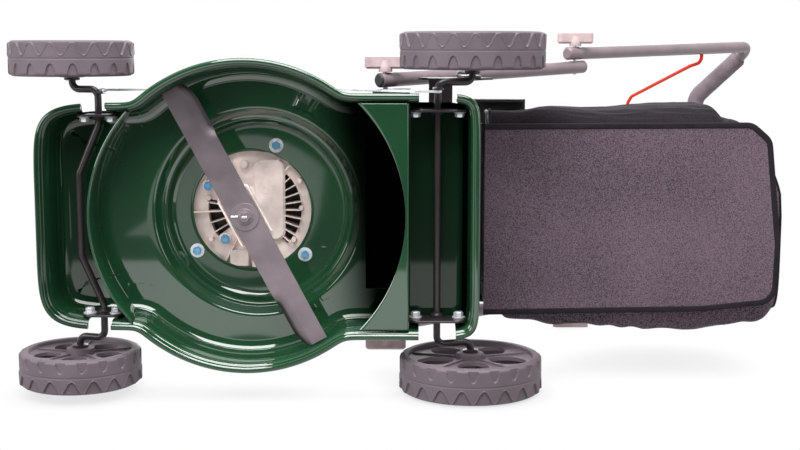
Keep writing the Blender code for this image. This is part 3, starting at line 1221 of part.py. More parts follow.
def make_handle_brackets(root):
    """A stepped plate on each side of the deck that the lower handle is clamped to."""
    plate_y = FOOT_Y - PLATE_STEP - BRACKET_THICKNESS / 2
    low, high = STAND_SHELF_Z + 0.001, FOOT_Z + 0.018
    outline = [(FOOT_X - 0.038, low), (FOOT_X + 0.018, low), (FOOT_X + 0.018, high - 0.010),
               (FOOT_X + 0.008, high), (FOOT_X - 0.016, high), (FOOT_X - 0.038, high - 0.022)]
    hole = circle_points((FOOT_X, FOOT_Z), STUD_HOLE, 12)
    shape = plate(outline, BRACKET_THICKNESS, "XZ", plate_y, holes=[hole])
    carrier = stand(FOOT_X - 0.037, FOOT_X + 0.017, plate_y)
    piece("handle_bracket_left", root, BLACK_STEEL, shape, add=[carrier])
    piece("handle_bracket_right", root, BLACK_STEEL, mirrored(shape), add=[mirrored(carrier)])


def make_quadrant(root):
    """The notched arc beside the height lever, on its own stepped foot."""
    plate_y = LEVER_Y - LEVER_THICKNESS / 2 - 0.0008 - BRACKET_THICKNESS / 2
    center = (REAR_PIVOT_X, REAR_PIVOT_Z)
    middle = 90.0 + LEVER_LEAN
    outer = circle_points(center, QUADRANT_OUTER, 12, middle - QUADRANT_SWEEP, 2 * QUADRANT_SWEEP)
    inner = circle_points(center, QUADRANT_INNER, 12, middle + QUADRANT_SWEEP, -2 * QUADRANT_SWEEP)
    arc = plate(outer + inner, BRACKET_THICKNESS, "XZ", plate_y)
    notches = []
    for index in range(NOTCHES):
        turn = math.radians(middle + QUADRANT_SWEEP * 0.8 * (2 * index / (NOTCHES - 1) - 1))
        x = center[0] + QUADRANT_OUTER * math.cos(turn)
        z = center[1] + QUADRANT_OUTER * math.sin(turn)
        notches.append(cylinder((x, plate_y - 0.01, z), (x, plate_y + 0.01, z), 0.0045, 8))
    x_low, x_high = REAR_PIVOT_X - 0.022, REAR_PIVOT_X + 0.012
    half = BRACKET_THICKNESS / 2 - 0.0004
    web = block((x_low - 0.001, plate_y - half, STAND_SHELF_Z + 0.001),
                (x_high + 0.001, plate_y + half, REAR_PIVOT_Z + QUADRANT_INNER + 0.006))
    piece("height_quadrant", root, BLACK_STEEL, arc,
          add=[web, stand(x_low, x_high, plate_y)], cut=notches)


def make_knob(parent, name, x, z, seat_y, inner_y, side):
    """A wing knob whose stud passes through the tubes and the plate that it clamps."""
    turn = body(f"{name}_axis", (x, side * seat_y, z), parent)
    hub = cylinder((x, seat_y, z), (x, seat_y + 0.008, z), 0.0100, 16, 0.0085)
    stud = cylinder((x, inner_y, z), (x, seat_y + 0.004, z), STUD_RADIUS, 12)
    wings = block((x - KNOB_SPAN / 2, seat_y + 0.006, z - 0.0065),
                  (x + KNOB_SPAN / 2, seat_y + 0.0195, z + 0.0065), 0.0045, 2)
    shapes = [wings, hub, stud]
    if side < 0:
        shapes = [mirrored(shape) for shape in shapes]
    piece(name, turn, KNOB_PLASTIC, shapes[0], add=shapes[1:])


def make_handle(root):
    """Two lower tubes, the upper handle with its foam, the red bail and four clamp knobs."""
    foot, elbow = (FOOT_X, FOOT_Y, FOOT_Z), (ELBOW_X, ELBOW_Y, ELBOW_Z)
    upper_elbow = (ELBOW_X, ELBOW_Y + UPPER_STEP, ELBOW_Z)
    corner, bar = (CORNER_X, CORNER_Y, CORNER_Z), (BAR_X, BAR_Y, BAR_Z)
    lower = body("lower_handle_axis", (FOOT_X, 0, FOOT_Z), root)
    upper = body("upper_handle_axis", (ELBOW_X, 0, ELBOW_Z), lower)
    tube_path = [along_handle(foot, elbow, -FOOT_TAIL), along_handle(elbow, foot, -ELBOW_TAIL)]
    for side, name in ((1, "left"), (-1, "right")):
        shape = tube(tube_path, TUBE_RADIUS, 3)
        holes = [cylinder((x, y - 0.03, z), (x, y + 0.03, z), STUD_HOLE, 12)
                 for x, y, z in (foot, elbow)]
        if side < 0:
            shape, holes = mirrored(shape), [mirrored(hole) for hole in holes]
        piece(f"lower_handle_{name}", lower, BLACK_STEEL, shape, cut=holes)
        make_knob(root, f"foot_knob_{name}", FOOT_X, FOOT_Z, FOOT_Y + TUBE_RADIUS + 0.0010,
                  FOOT_Y - PLATE_STEP - BRACKET_THICKNESS - 0.002, side)
        make_knob(lower, f"elbow_knob_{name}", ELBOW_X, ELBOW_Z,
                  ELBOW_Y + UPPER_STEP + TUBE_RADIUS + 0.0010,
                  ELBOW_Y - TUBE_RADIUS - 0.0015, side)
    half = [along_handle(upper_elbow, corner, -ELBOW_TAIL), corner, bar]
    path = [Vector(p) for p in half] + [Vector((p[0], -p[1], p[2])) for p in reversed(half)]
    bends = fillet_path(path, HANDLE_BEND, BEND_STEPS)
    pivot = Vector(upper_elbow).lerp(Vector(corner), BAIL_PIVOT_SHARE)
    holes = [cylinder((ELBOW_X, s * (ELBOW_Y + UPPER_STEP - 0.03), ELBOW_Z),
                      (ELBOW_X, s * (ELBOW_Y + UPPER_STEP + 0.03), ELBOW_Z), STUD_HOLE, 12)
             for s in (1, -1)]
    pockets = [cylinder((pivot.x, s * (pivot.y - 0.02), pivot.z),
                        (pivot.x, s * (pivot.y - 0.001), pivot.z), BAIL_RADIUS + 0.0004, 12)
               for s in (1, -1)]
    piece("upper_handle", upper, BLACK_STEEL, tube(bends, TUBE_RADIUS, 3), cut=holes + pockets)
    foam_path = bends[BEND_STEPS + 1:-(BEND_STEPS + 1)]
    first, last = foam_path[0], foam_path[-1]
    longer = [first * 2 - foam_path[1], *foam_path[1:-1], last * 2 - foam_path[-2]]
    piece("handle_grip", upper, FOAM, tube(foam_path, GRIP_RADIUS, 3),
          cut=[tube(longer, TUBE_RADIUS + 0.0006, 3)])
    make_bail(upper, pivot)


def make_bail(upper, pivot):
    """The red bail that hangs ahead of the grip, its bent ends in the side tubes."""
    hinge = body("bail_axis", (pivot.x, 0, pivot.z), upper)
    half = [(pivot.x, pivot.y - 0.0015, pivot.z), (pivot.x, pivot.y - 0.026, pivot.z),
            (pivot.x + 0.018, pivot.y - 0.034, pivot.z + 0.022),
            (BAIL_BAR_X, BAIL_HALF_WIDTH, BAIL_BAR_Z)]
    path = [Vector(p) for p in half] + [Vector((p[0], -p[1], p[2])) for p in reversed(half)]
    piece("bail_bar", hinge, RED_ROD, tube(path, BAIL_RADIUS, 2, 0.014, 3))


def bag_ring(x, half, low, high):
    ring = []
    for index in range(BAG_RING_POINTS):
        turn = 2 * math.pi * index / BAG_RING_POINTS
        y = -math.copysign(abs(math.cos(turn)) ** (2 / BAG_SQUARENESS), math.cos(turn)) * half
        z = math.copysign(abs(math.sin(turn)) ** (2 / BAG_SQUARENESS), math.sin(turn))
        ring.append((x, y, (low + high) / 2 + z * (high - low) / 2))
    return ring


def make_bag(root):
    """The lift-off grass bag: cloth shell, flat base, wire mouth frame and carrying handle."""
    lift = body("grass_bag_slide", (BAG_FRONT_X, 0, BAG_FLOOR_Z), root)
    front = BAG_FRONT_X - 2 * FRAME_RADIUS - SEAT_GAP - 0.0015
    rings = []
    for back, share, rise, top in BAG_STATIONS:
        rings.append(bag_ring(front - back, share * BAG_HALF_WIDTH, BAG_FLOOR_Z + rise,
                              BAG_MOUTH_TOP_Z + top))
    last = BAG_STATIONS[-1]
    tip = (BAG_REAR_X, 0.0, (BAG_FLOOR_Z + last[2] + BAG_MOUTH_TOP_Z + last[3]) / 2)
    piece("bag_cloth", lift, BAG_CLOTH, thickened(lofted(rings, tip), BAG_WALL, -1.0))
    base_top = BAG_FLOOR_Z - SEAT_GAP
    piece("bag_base", lift, BLACK_PLASTIC,
          block((front - 0.006 - BAG_BASE_LENGTH, -BAG_BASE_HALF, base_top - BAG_BOTTOM_THICKNESS),
                (front - 0.006, BAG_BASE_HALF, base_top), 0.001))
    x = BAG_FRONT_X - FRAME_RADIUS - 0.0015
    half, low, high = 0.86 * BAG_HALF_WIDTH - 0.002, BAG_FLOOR_Z + 0.002, BAG_MOUTH_TOP_Z - 0.002
    corner = 0.022
    loop = [(x, 0, high), (x, half, high), (x, half, low), (x, -half, low),
            (x, -half, high), (x, 0, high)]
    hook_y = CHUTE_HALF_WIDTH + 0.0017
    hooks = [block((x - 0.001, s * hook_y - 0.0014, HOOK_Z - 0.006),
                   (CHUTE_REAR_X - 0.004, s * hook_y + 0.0014, HOOK_Z + 0.005)) for s in (-1, 1)]
    hooks += [block((x - 0.0015, min(s * hook_y, s * half), HOOK_Z - 0.005),
                    (x + 0.0012, max(s * hook_y, s * half), HOOK_Z + 0.004)) for s in (-1, 1)]
    piece("bag_frame", lift, BLACK_STEEL, tube(loop, FRAME_RADIUS, 2, corner, 4, ring=True),
          add=hooks)
    top = BAG_MOUTH_TOP_Z + 0.184
    first, second = front - 0.235, front - 0.305
    path = [(first, 0, BAG_MOUTH_TOP_Z + 0.1744), (first - 0.008, 0, top + 0.034),
            (second + 0.008, 0, top + 0.036), (second, 0, top + 0.0003)]
    piece("bag_handle", lift, BLACK_PLASTIC, tube(path, 0.0060, 2, 0.014, 3))


def middle_x():
    """The middle of the whole mower's length, from its pieces as built."""
    graph = bpy.context.evaluated_depsgraph_get()
    spots = []
    for item in PARTS.objects:
        if item.type == "MESH":
            shape = item.evaluated_get(graph)
            spots += [(shape.matrix_world @ Vector(corner)).x for corner in shape.bound_box]
    return (min(spots) + max(spots)) / 2


def main():
    root = body("mower_frame", (0, 0, 0))
    outline = deck_outline()
    deck = make_deck(root, outline)
    make_front_baffle(root, outline)
    make_rear_panel(root, outline)
    make_chute(root)
    make_flap(root)
    make_axle_brackets(root, deck)
    make_blade_group(root)
    make_crankcase(root)
    make_engine_bolts(root)
    head_start, head_end = make_cylinder(root)
    make_spark_plug(root, head_start, head_end)
    make_muffler(root)
    make_intake(root)
    make_tank(root)
    make_dipstick(root)
    make_blower_housing(root)
    make_starter(root)
    front, rear = make_axles(root)
    make_lever(rear)
    make_link(rear)
    make_wheels(front, rear)
    make_handle_brackets(root)
    make_quadrant(root)
    make_handle(root)
    make_bag(root)
    root.location.x = -middle_x()
    bpy.context.view_layer.update()


main()
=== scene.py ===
"""Looks of a petrol lawn mower seen from underneath, laid over its packed CAD model.

Metres, in the CAD model's frame: +X is forward, +Y is the mower's left, +Z is up.
Every new surface is worked out with numpy and rides on the CAD body that carries it.
"""

import json
import math

import bmesh
import bpy
import numpy as np
from bpy.props import FloatProperty, FloatVectorProperty, IntProperty, PointerProperty
from mathutils import Matrix, Vector


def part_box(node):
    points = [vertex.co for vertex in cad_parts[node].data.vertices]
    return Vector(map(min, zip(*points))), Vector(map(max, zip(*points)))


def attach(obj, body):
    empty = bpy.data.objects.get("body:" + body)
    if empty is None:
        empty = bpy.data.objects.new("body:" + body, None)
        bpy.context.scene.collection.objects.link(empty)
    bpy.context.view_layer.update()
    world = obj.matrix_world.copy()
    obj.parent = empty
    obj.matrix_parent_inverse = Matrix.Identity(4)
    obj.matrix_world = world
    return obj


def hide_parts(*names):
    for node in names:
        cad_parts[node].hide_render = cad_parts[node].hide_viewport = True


bl_info = {
    "name": "Petrol lawn mower",
    "version": (1, 0, 0),
    "blender": (4, 5, 0),
    "location": "View3D > Sidebar > Mower",
    "description": "Detailed surfaces and materials of a petrol lawn mower",
    "category": "Object",
}

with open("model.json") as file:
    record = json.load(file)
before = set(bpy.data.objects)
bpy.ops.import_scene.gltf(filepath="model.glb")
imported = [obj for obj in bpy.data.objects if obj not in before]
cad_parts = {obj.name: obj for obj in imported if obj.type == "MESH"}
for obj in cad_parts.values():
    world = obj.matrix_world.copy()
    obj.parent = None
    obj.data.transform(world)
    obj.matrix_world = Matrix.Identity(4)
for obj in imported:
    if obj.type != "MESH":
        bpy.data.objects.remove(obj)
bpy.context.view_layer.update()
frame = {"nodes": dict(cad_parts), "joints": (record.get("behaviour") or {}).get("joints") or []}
NODES = frame["nodes"]
# Shapes are laid out from the blade's axis, which stands this far forward in the CAD model
AXIS_X = next(joint["pos_m"][0] for joint in frame["joints"]
              if joint["name"] == "crankshaft_spin")
LOCAL = np.array((AXIS_X, 0, 0))
SIDES = ((1, "left"), (-1, "right"))
THIN = 0.0001   # the radius at which a turned face ends, near its axis
WALL = 0.0020   # thickness of the deck's sheet
ROOF_Z = 0.1090   # underside of the deck's roof
CASE_Z = 0.1403   # underside of the crankcase's ring
BLADE_Z = 0.055   # underside of the blade
SHARP = 38.0   # edges bent by more degrees than this are drawn sharp


# Shapes: each is a pair of an array of points and a list of arrays of faces


def grid(points, wrap_u=False, wrap_v=False, caps=False):
    """Quads between neighbours of a U by V array of points, and fans over its two V rings."""
    rows, columns = points.shape[:2]
    a, b = np.meshgrid(np.arange(rows if wrap_u else rows - 1),
                       np.arange(columns if wrap_v else columns - 1), indexing="ij")
    a_next, b_next = (a + 1) % rows, (b + 1) % columns
    corners = [a * columns + b, a_next * columns + b, a_next * columns + b_next,
               a * columns + b_next]
    flat, faces = points.reshape(-1, 3), [np.stack(corners, -1).reshape(-1, 4)]
    if caps:
        for row, turn in ((0, 1), (rows - 1, -1)):
            flat = np.vstack([flat, points[row].mean(0)])
            ring = row * columns + np.arange(columns)
            fan = np.stack([ring, np.roll(ring, -1), np.full(columns, len(flat) - 1)], -1)
            faces.append(fan[:, ::turn])
    return flat, faces


def joined(*shapes):
    """Several shapes as one."""
    points, faces, count = [], [], 0
    for flat, groups in shapes:
        points.append(flat)
        faces += [group + count for group in groups]
        count += len(flat)
    return np.vstack(points), faces


def moved(shape, matrix):
    """A shape turned and moved by a 4 by 4 matrix."""
    turn = np.array(matrix)
    return shape[0] @ turn[:3, :3].T + turn[:3, 3], shape[1]


def shifted(shape, step):
    """A shape moved by a step (x, y, z)."""
    return shape[0] + step, shape[1]


def mirrored(shape):
    """A shape's mirror image across y = 0, with its faces turned back out."""
    return shape[0] * (1, -1, 1), [group[:, ::-1] for group in shape[1]]


def on_side(shape, side):
    """A shape made on the mower's left, for side 1, or its mirror image, for side -1."""
    return shape if side > 0 else mirrored(shape)


def turned(shape, angle, axis):
    return moved(shape, Matrix.Rotation(angle, 4, axis))


def hung(shape, place, turn=0.0):
    """A shape that grows up from z = 0, put upside down at a place."""
    return moved(shape, Matrix.Translation(place) @ Matrix.Rotation(math.pi, 4, "X")
                 @ Matrix.Rotation(turn, 4, "Z"))


def lathe(profile, steps=48, center=(0, 0, 0), axis="Z", closed=False):
    """A profile of (radius, height) pairs turned round: r cos a, r sin a, h."""
    profile = np.array(profile, float)
    angle = full_turn(steps)[None, :]
    radius, height = profile[:, :1], np.repeat(profile[:, 1:], steps, 1)
    ring = np.stack([radius * np.cos(angle), radius * np.sin(angle), height], -1)
    if axis == "Y":
        ring = ring[..., [0, 2, 1]] * (1, 1, -1)
    elif axis == "X":
        ring = ring[..., [2, 1, 0]] * (1, 1, -1)
    return grid(ring + np.array(center), wrap_u=closed, wrap_v=True, caps=not closed)


def unit(rows):
    """Vectors divided by their lengths."""
    return rows / np.linalg.norm(rows, axis=-1, keepdims=True)


def frames_along(path, side, ring=False):
    """Two unit vectors square to a path at each of its points."""
    if ring:
        along = np.roll(path, -1, 0) - np.roll(path, 1, 0)
    else:
        along = np.gradient(path, axis=0)
    along = unit(along)
    side = np.array(side, float)
    first = unit(side - along * (along @ side)[:, None])
    return first, np.cross(along, first)


def carried(profile, path, side=(0, 0, 1), scale=1.0, ring=False):
    """A flat loop carried along a path: its two numbers times two vectors square to the path."""
    path = np.array(path, float)
    first, second = frames_along(path, side, ring)
    profile = np.array(profile, float)
    scale = np.broadcast_to(np.asarray(scale, float), (len(path),))[:, None, None]
    points = path[:, None] + scale * (profile[None, :, :1] * first[:, None]
                                      + profile[None, :, 1:] * second[:, None])
    return grid(points, wrap_u=ring, wrap_v=True, caps=not ring)


def full_turn(count):
    """Angles at even steps round a whole turn."""
    return np.linspace(0, 2 * np.pi, count, endpoint=False)


def circle(radius, count=16):
    angle = full_turn(count)
    return np.stack([radius * np.cos(angle), radius * np.sin(angle)], -1)


def around_axis(radius, angle, height):
    """A path of points at an angle about the blade's axis."""
    x = radius * np.cos(angle)
    return np.stack([x, radius * np.sin(angle), 0 * x + height], -1)


def smooth_step(value):
    """0 below 0, 1 above 1, and between them t^2 (3 - 2 t)."""
    value = np.clip(value, 0, 1)
    return value * value * (3 - 2 * value)


def rounded_box(width, height, radius, steps=4):
    """The outline of a rectangle with round corners, about its middle."""
    corners = []
    for index, (x, y) in enumerate(((1, 1), (-1, 1), (-1, -1), (1, -1))):
        angle = np.linspace(index, index + 1, steps + 1) * np.pi / 2
        corners.append(np.stack([x * (width / 2 - radius) + radius * np.cos(angle),
                                 y * (height / 2 - radius) + radius * np.sin(angle)], -1))
    return np.vstack(corners)


def rounded_path(points, radius, steps=8, ring=False):
    """A path whose corners are arcs that touch both legs."""
    points = [np.array(p, float) for p in points]
    corners = range(len(points)) if ring else range(1, len(points) - 1)
    path = [] if ring else [points[0]]
    for index in corners:
        corner = points[index]
        back, ahead = points[index - 1] - corner, points[(index + 1) % len(points)] - corner
        long_back, long_ahead = np.linalg.norm(back), np.linalg.norm(ahead)
        back, ahead = back / long_back, ahead / long_ahead
        half = math.acos(max(-1.0, min(1.0, float(back @ ahead)))) / 2
        reach = min(radius / math.tan(half), 0.49 * long_back, 0.49 * long_ahead)
        arc = reach * math.tan(half)
        middle = back + ahead
        center = corner + middle / np.linalg.norm(middle) * arc / math.sin(half)
        first, last = corner + back * reach - center, corner + ahead * reach - center
        span = math.pi - 2 * half
        for share in np.linspace(0, 1, steps + 1):
            path.append(center + (math.sin((1 - share) * span) * first
                                  + math.sin(share * span) * last) / math.sin(span))
    if not ring:
        path.append(points[-1])
    return np.array(path)


def flat_path(points, radius, steps=8, ring=False):
    """The same for pairs of numbers, in a plane."""
    return rounded_path([(x, y, 0) for x, y in points], radius, steps, ring)[:, :2]


def spaced(path, step, ring=False):
    """The same path with points at even steps along it."""
    path = np.array(path, float)
    if ring:
        path = np.vstack([path, path[:1]])
    lengths = np.concatenate([[0], np.cumsum(np.linalg.norm(np.diff(path, axis=0), axis=1))])
    count = max(2, int(round(lengths[-1] / step)) + 1)
    at = np.linspace(0, lengths[-1], count)
    made = np.stack([np.interp(at, lengths, path[:, i]) for i in range(3)], -1)
    return made[:-1] if ring else made


def rod(points, radius, bend=0.0, sides=14, side=(0, 0, 1)):
    """A round rod whose ends are slightly domed. Its path has to lean away from the side."""
    path = rounded_path(points, bend) if bend else np.array(points, float)
    start, end = unit(path[0] - path[1]), unit(path[-1] - path[-2])
    edge = radius * 0.25
    path = np.vstack([path[0], path[0] - start * edge, path[1:-1], path[-1] - end * edge,
                      path[-1]])
    scale = np.ones(len(path))
    scale[[0, -1]] = 0.75
    return carried(circle(radius, sides), path, side, scale)


def slab(outline, low, high, plane="XY", edge=0.0):
    """A flat outline given a thickness, whose loop shrinks by the bevel's edge at each face."""
    loop = np.array(outline, float)
    along = np.roll(loop, -1, 0) - np.roll(loop, 1, 0)
    along /= np.linalg.norm(along, axis=1, keepdims=True) + 1e-12
    inside = np.stack([-along[:, 1], along[:, 0]], -1)
    area = np.sum(loop[:, 0] * np.roll(loop[:, 1], -1) - np.roll(loop[:, 0], -1) * loop[:, 1])
    inside *= 1 if area > 0 else -1
    edge = min(edge, (high - low) / 2.01)
    levels = [(low, edge), (low + edge, 0.0), (high - edge, 0.0), (high, edge)]
    if not edge:
        levels = levels[::3]
    rows = [np.column_stack([loop + inside * shrink, np.full(len(loop), z)])
            for z, shrink in levels]
    order = {"XY": (0, 1, 2), "XZ": (0, 2, 1)}[plane]
    return grid(np.stack(rows)[..., order], wrap_v=True, caps=True)


def block(low, high, radius=0.001):
    """A box whose upright and level edges are all rounded."""
    low, high = np.array(low, float), np.array(high, float)
    size, middle = high - low, (low + high) / 2
    corner = min(radius, size[0] / 2.1, size[1] / 2.1)
    outline = rounded_box(size[0], size[1], corner) + middle[:2]
    return slab(outline, low[2], high[2], "XY", radius * 0.8)


def closed_lathe(rings, steps=48, center=(0, 0, 0), axis="Z"):
    """Rings of (radius, height) turned round and closed flat at both ends."""
    ends = (THIN, rings[0][1]), (THIN, rings[-1][1])
    return lathe([ends[0], *rings, ends[1]], steps, center, axis)


def hexagon(radius, low, high, axis="Z"):
    """A hexagonal head or nut whose corners are chamfered at its top."""
    flat = radius * 0.88
    return lathe([(flat, low), (radius, low + 0.0004), (radius, high - radius * 0.16),
                  (flat, high), (THIN, high)], 6, axis=axis)


def bolt_head(radius, height, washer, thick=0.0015, axis="Z"):
    """A hexagonal head with a raised round top, on its washer."""
    disc = closed_lathe([(washer, 0.0), (washer, thick * 0.7), (washer - 0.0005, thick)], 24,
                        axis=axis)
    top = closed_lathe([(radius * 0.55, height - 0.001), (radius * 0.50, height + 0.0002)], 20,
                       axis=axis)
    return joined(hexagon(radius, thick, height, axis), disc, top)


def linked(name, shape):
    """A new mesh object in the scene, from a shape."""
    points, faces = shape
    mesh = bpy.data.meshes.new(name)
    mesh.from_pydata(points.tolist(), [], [face for group in faces for face in group.tolist()])
    item = bpy.data.objects.new(name, mesh)
    bpy.context.scene.collection.objects.link(item)
    return item


def smooth(mesh, angle=SHARP):
    mesh.shade_smooth()
    mesh.set_sharp_from_angle(angle=math.radians(angle))


def triples(items, field):
    """A field of three numbers of each vertex or face of a mesh."""
    found = np.empty(len(items) * 3)
    items.foreach_get(field, found)
    return found.reshape(-1, 3)


def new_piece(name, shape, kind, body, stands_for=(), angle=SHARP, normals=True):
    """A mesh object of a shape laid out from the blade's axis, that rides on a CAD body."""
    item = linked(name, shifted(shape, LOCAL))
    mesh = item.data
    if normals:
        clean(mesh)
    mesh.materials.append(finish_of(kind))
    smooth(mesh, angle)
    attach(item, body)
    if stands_for:
        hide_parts(*stands_for)
    return item


def clean(mesh):
    """Merges doubles and turns all faces outwards."""
    build = bmesh.new()
    build.from_mesh(mesh)
    bmesh.ops.remove_doubles(build, verts=build.verts, dist=1e-7)
    bmesh.ops.recalc_face_normals(build, faces=build.faces)
    build.to_mesh(mesh)
    build.free()


def applied(item):
    """Turns an object's modifiers into its mesh."""
    bpy.context.view_layer.update()
    graph = bpy.context.evaluated_depsgraph_get()
    made = bpy.data.meshes.new_from_object(item.evaluated_get(graph))
    old, item.data = item.data, made
    item.modifiers.clear()
    bpy.data.meshes.remove(old)


def carved(item, cutters):
    """Cuts shapes out of an object with exact Booleans and applies them."""
    helpers = []
    for shape in cutters:
        helper = linked("cutter", shifted(shape, LOCAL))
        clean(helper.data)
        helpers.append(helper)
        step = item.modifiers.new("cut", "BOOLEAN")
        step.operation, step.solver, step.object = "DIFFERENCE", "EXACT", helper
    applied(item)
    for helper in helpers:
        bpy.data.objects.remove(helper, do_unlink=True)
    smooth(item.data)


# Materials, on object coordinates


def principled(tree):
    return tree.nodes["Principled BSDF"]


def shader(name, color, rough, metal=0.0, coat=0.0, coat_rough=0.1, sheen=0.0, specular=0.5):
    """A new material's node tree and its Principled shader."""
    made = bpy.data.materials.new(name)
    made.use_nodes = True
    tree = made.node_tree
    node = principled(tree)
    for socket, value in (("Base Color", (*color[:3], 1.0)), ("Roughness", rough),
                          ("Metallic", metal), ("Coat Weight", coat),
                          ("Coat Roughness", coat_rough), ("Sheen Weight", sheen),
                          ("Specular IOR Level", specular)):
        node.inputs[socket].default_value = value
    return made, tree, node


def pattern(tree, kind, scale, detail=3.0):
    """A value from 0 to 1 at each point: noise, or distance to the nearest cell's middle."""
    place = tree.nodes.new("ShaderNodeTexCoord")
    cells = kind == "cells"
    made = tree.nodes.new("ShaderNodeTexVoronoi" if cells else "ShaderNodeTexNoise")
    made.inputs["Scale"].default_value = scale
    if not cells:
        made.inputs["Detail"].default_value = detail
    tree.links.new(place.outputs["Object"], made.inputs["Vector"])
    return made.outputs["Distance" if cells else 0]


def ramp(tree, value, low, high, to_low=0.0, to_high=1.0):
    """A value's range mapped to another, clamped."""
    made = tree.nodes.new("ShaderNodeMapRange")
    for index, number in enumerate((low, high, to_low, to_high)):
        made.inputs[index + 1].default_value = number
    tree.links.new(value, made.inputs[0])
    return made.outputs[0]


def mixed(tree, share, first, second):
    """Two colours mixed by a value."""
    made = tree.nodes.new("ShaderNodeMix")
    made.data_type = "RGBA"
    made.inputs["A"].default_value = (*first[:3], 1.0)
    made.inputs["B"].default_value = (*second[:3], 1.0)
    tree.links.new(share, made.inputs["Factor"])
    return made.outputs["Result"]


def bumped(tree, node, value, depth):
    """Small bumps as deep as given, in metres."""
    made = tree.nodes.new("ShaderNodeBump")
    made.inputs["Strength"].default_value = 1.0
    made.inputs["Distance"].default_value = depth
    tree.links.new(value, made.inputs["Height"])
    tree.links.new(made.outputs["Normal"], node.inputs["Normal"])


def toned(color, share):
    """A colour made lighter by a share of itself, or darker where the share is negative."""
    return [min(1.0, c * (1 + share)) for c in color[:3]]


def drifting(name, color, rough, share, scale, fine, depth, kind="noise", **more):
    """A material whose colour and roughness drift slowly, over a fine grain of some depth."""
    made, tree, node = shader(name, color, rough, **more)
    drift = pattern(tree, "noise", scale)
    tone = mixed(tree, ramp(tree, drift, 0.3, 0.7), toned(color, -share), toned(color, share))
    tree.links.new(tone, node.inputs["Base Color"])
    tree.links.new(ramp(tree, drift, 0.3, 0.7, rough * 0.85, min(1.0, rough * 1.15)),
                   node.inputs["Roughness"])
    bumped(tree, node, pattern(tree, kind, fine, 2.0), depth)
    return made


def darkened(made, dark):
    """Mixes a material's colour to a dark one by the attribute shade of its mesh."""
    tree = made.node_tree
    base = principled(tree).inputs["Base Color"]
    tone = base.links[0].from_socket
    shade = tree.nodes.new("ShaderNodeAttribute")
    shade.name = shade.attribute_name = "shade"
    result = mixed(tree, shade.outputs["Fac"], dark, dark)
    tree.links.new(tone, result.node.inputs["A"])
    tree.links.new(result, base)
    return made


def shaded(mesh, values, domain="POINT"):
    """Writes the attribute shade, one value for each vertex or face."""
    made = mesh.attributes.new("shade", "FLOAT", domain)
    made.data.foreach_set("value", np.asarray(values, np.float32))


def enamel(*numbers, **more):
    """Glossy paint with a faint orange peel, nearly black and dull where the mesh is shaded."""
    # The dark colour here is the colour of the painted shade
    made = darkened(drifting(*numbers, **more), (0.0006, 0.0012, 0.0009))
    tree = made.node_tree
    principled(tree).inputs["Coat IOR"].default_value = 1.85
    tree.links.new(ramp(tree, tree.nodes["shade"].outputs["Fac"], 0.0, 1.0, 0.9, 0.0),
                   principled(tree).inputs["Coat Weight"])
    return made


def steel_with_painted_shade(*numbers, **more):
    """Rolled steel with mottled oil blueing, dark where the mesh is shaded."""
    return darkened(drifting(*numbers, **more), (0.030, 0.024, 0.028))


def woven(name, color, rough, speck, scale, depth, sheen):
    """Cloth: a fine noise and a slow one in the colour, and the fine one as its relief."""
    made, tree, node = shader(name, color, rough, sheen=sheen, specular=0.12)
    fine = pattern(tree, "noise", scale, 2.0)
    slow = ramp(tree, pattern(tree, "noise", 6.0, 1.0), 0.35, 0.65, -0.10, 0.16)
    both = tree.nodes.new("ShaderNodeMath")
    tree.links.new(ramp(tree, fine, 0.36, 0.66), both.inputs[0])
    tree.links.new(slow, both.inputs[1])
    both.use_clamp = True
    tone = mixed(tree, both.outputs[0], toned(color, -speck), toned(color, 1.8 * speck))
    tree.links.new(tone, node.inputs["Base Color"])
    bumped(tree, node, fine, depth)
    return made


def see_through(tree, share, solid, into):
    """Gives a material's surface a share of clear: the solid shader goes into input 1 or 2."""
    clear = tree.nodes.new("ShaderNodeBsdfTransparent")
    mix = tree.nodes.new("ShaderNodeMixShader")
    tree.links.new(share, mix.inputs[0])
    tree.links.new(solid, mix.inputs[into])
    tree.links.new(clear.outputs[0], mix.inputs[3 - into])
    tree.links.new(mix.outputs[0], tree.nodes["Material Output"].inputs["Surface"])


def netting(*numbers):
    """Sheer netting: cloth mixed with clear gaps between its threads."""
    made = woven(*numbers)
    tree = made.node_tree
    gaps = ramp(tree, pattern(tree, "cells", 700.0), 0.10, 0.55, 0.96, 0.74)
    see_through(tree, gaps, principled(tree).outputs[0], into=2)
    return made


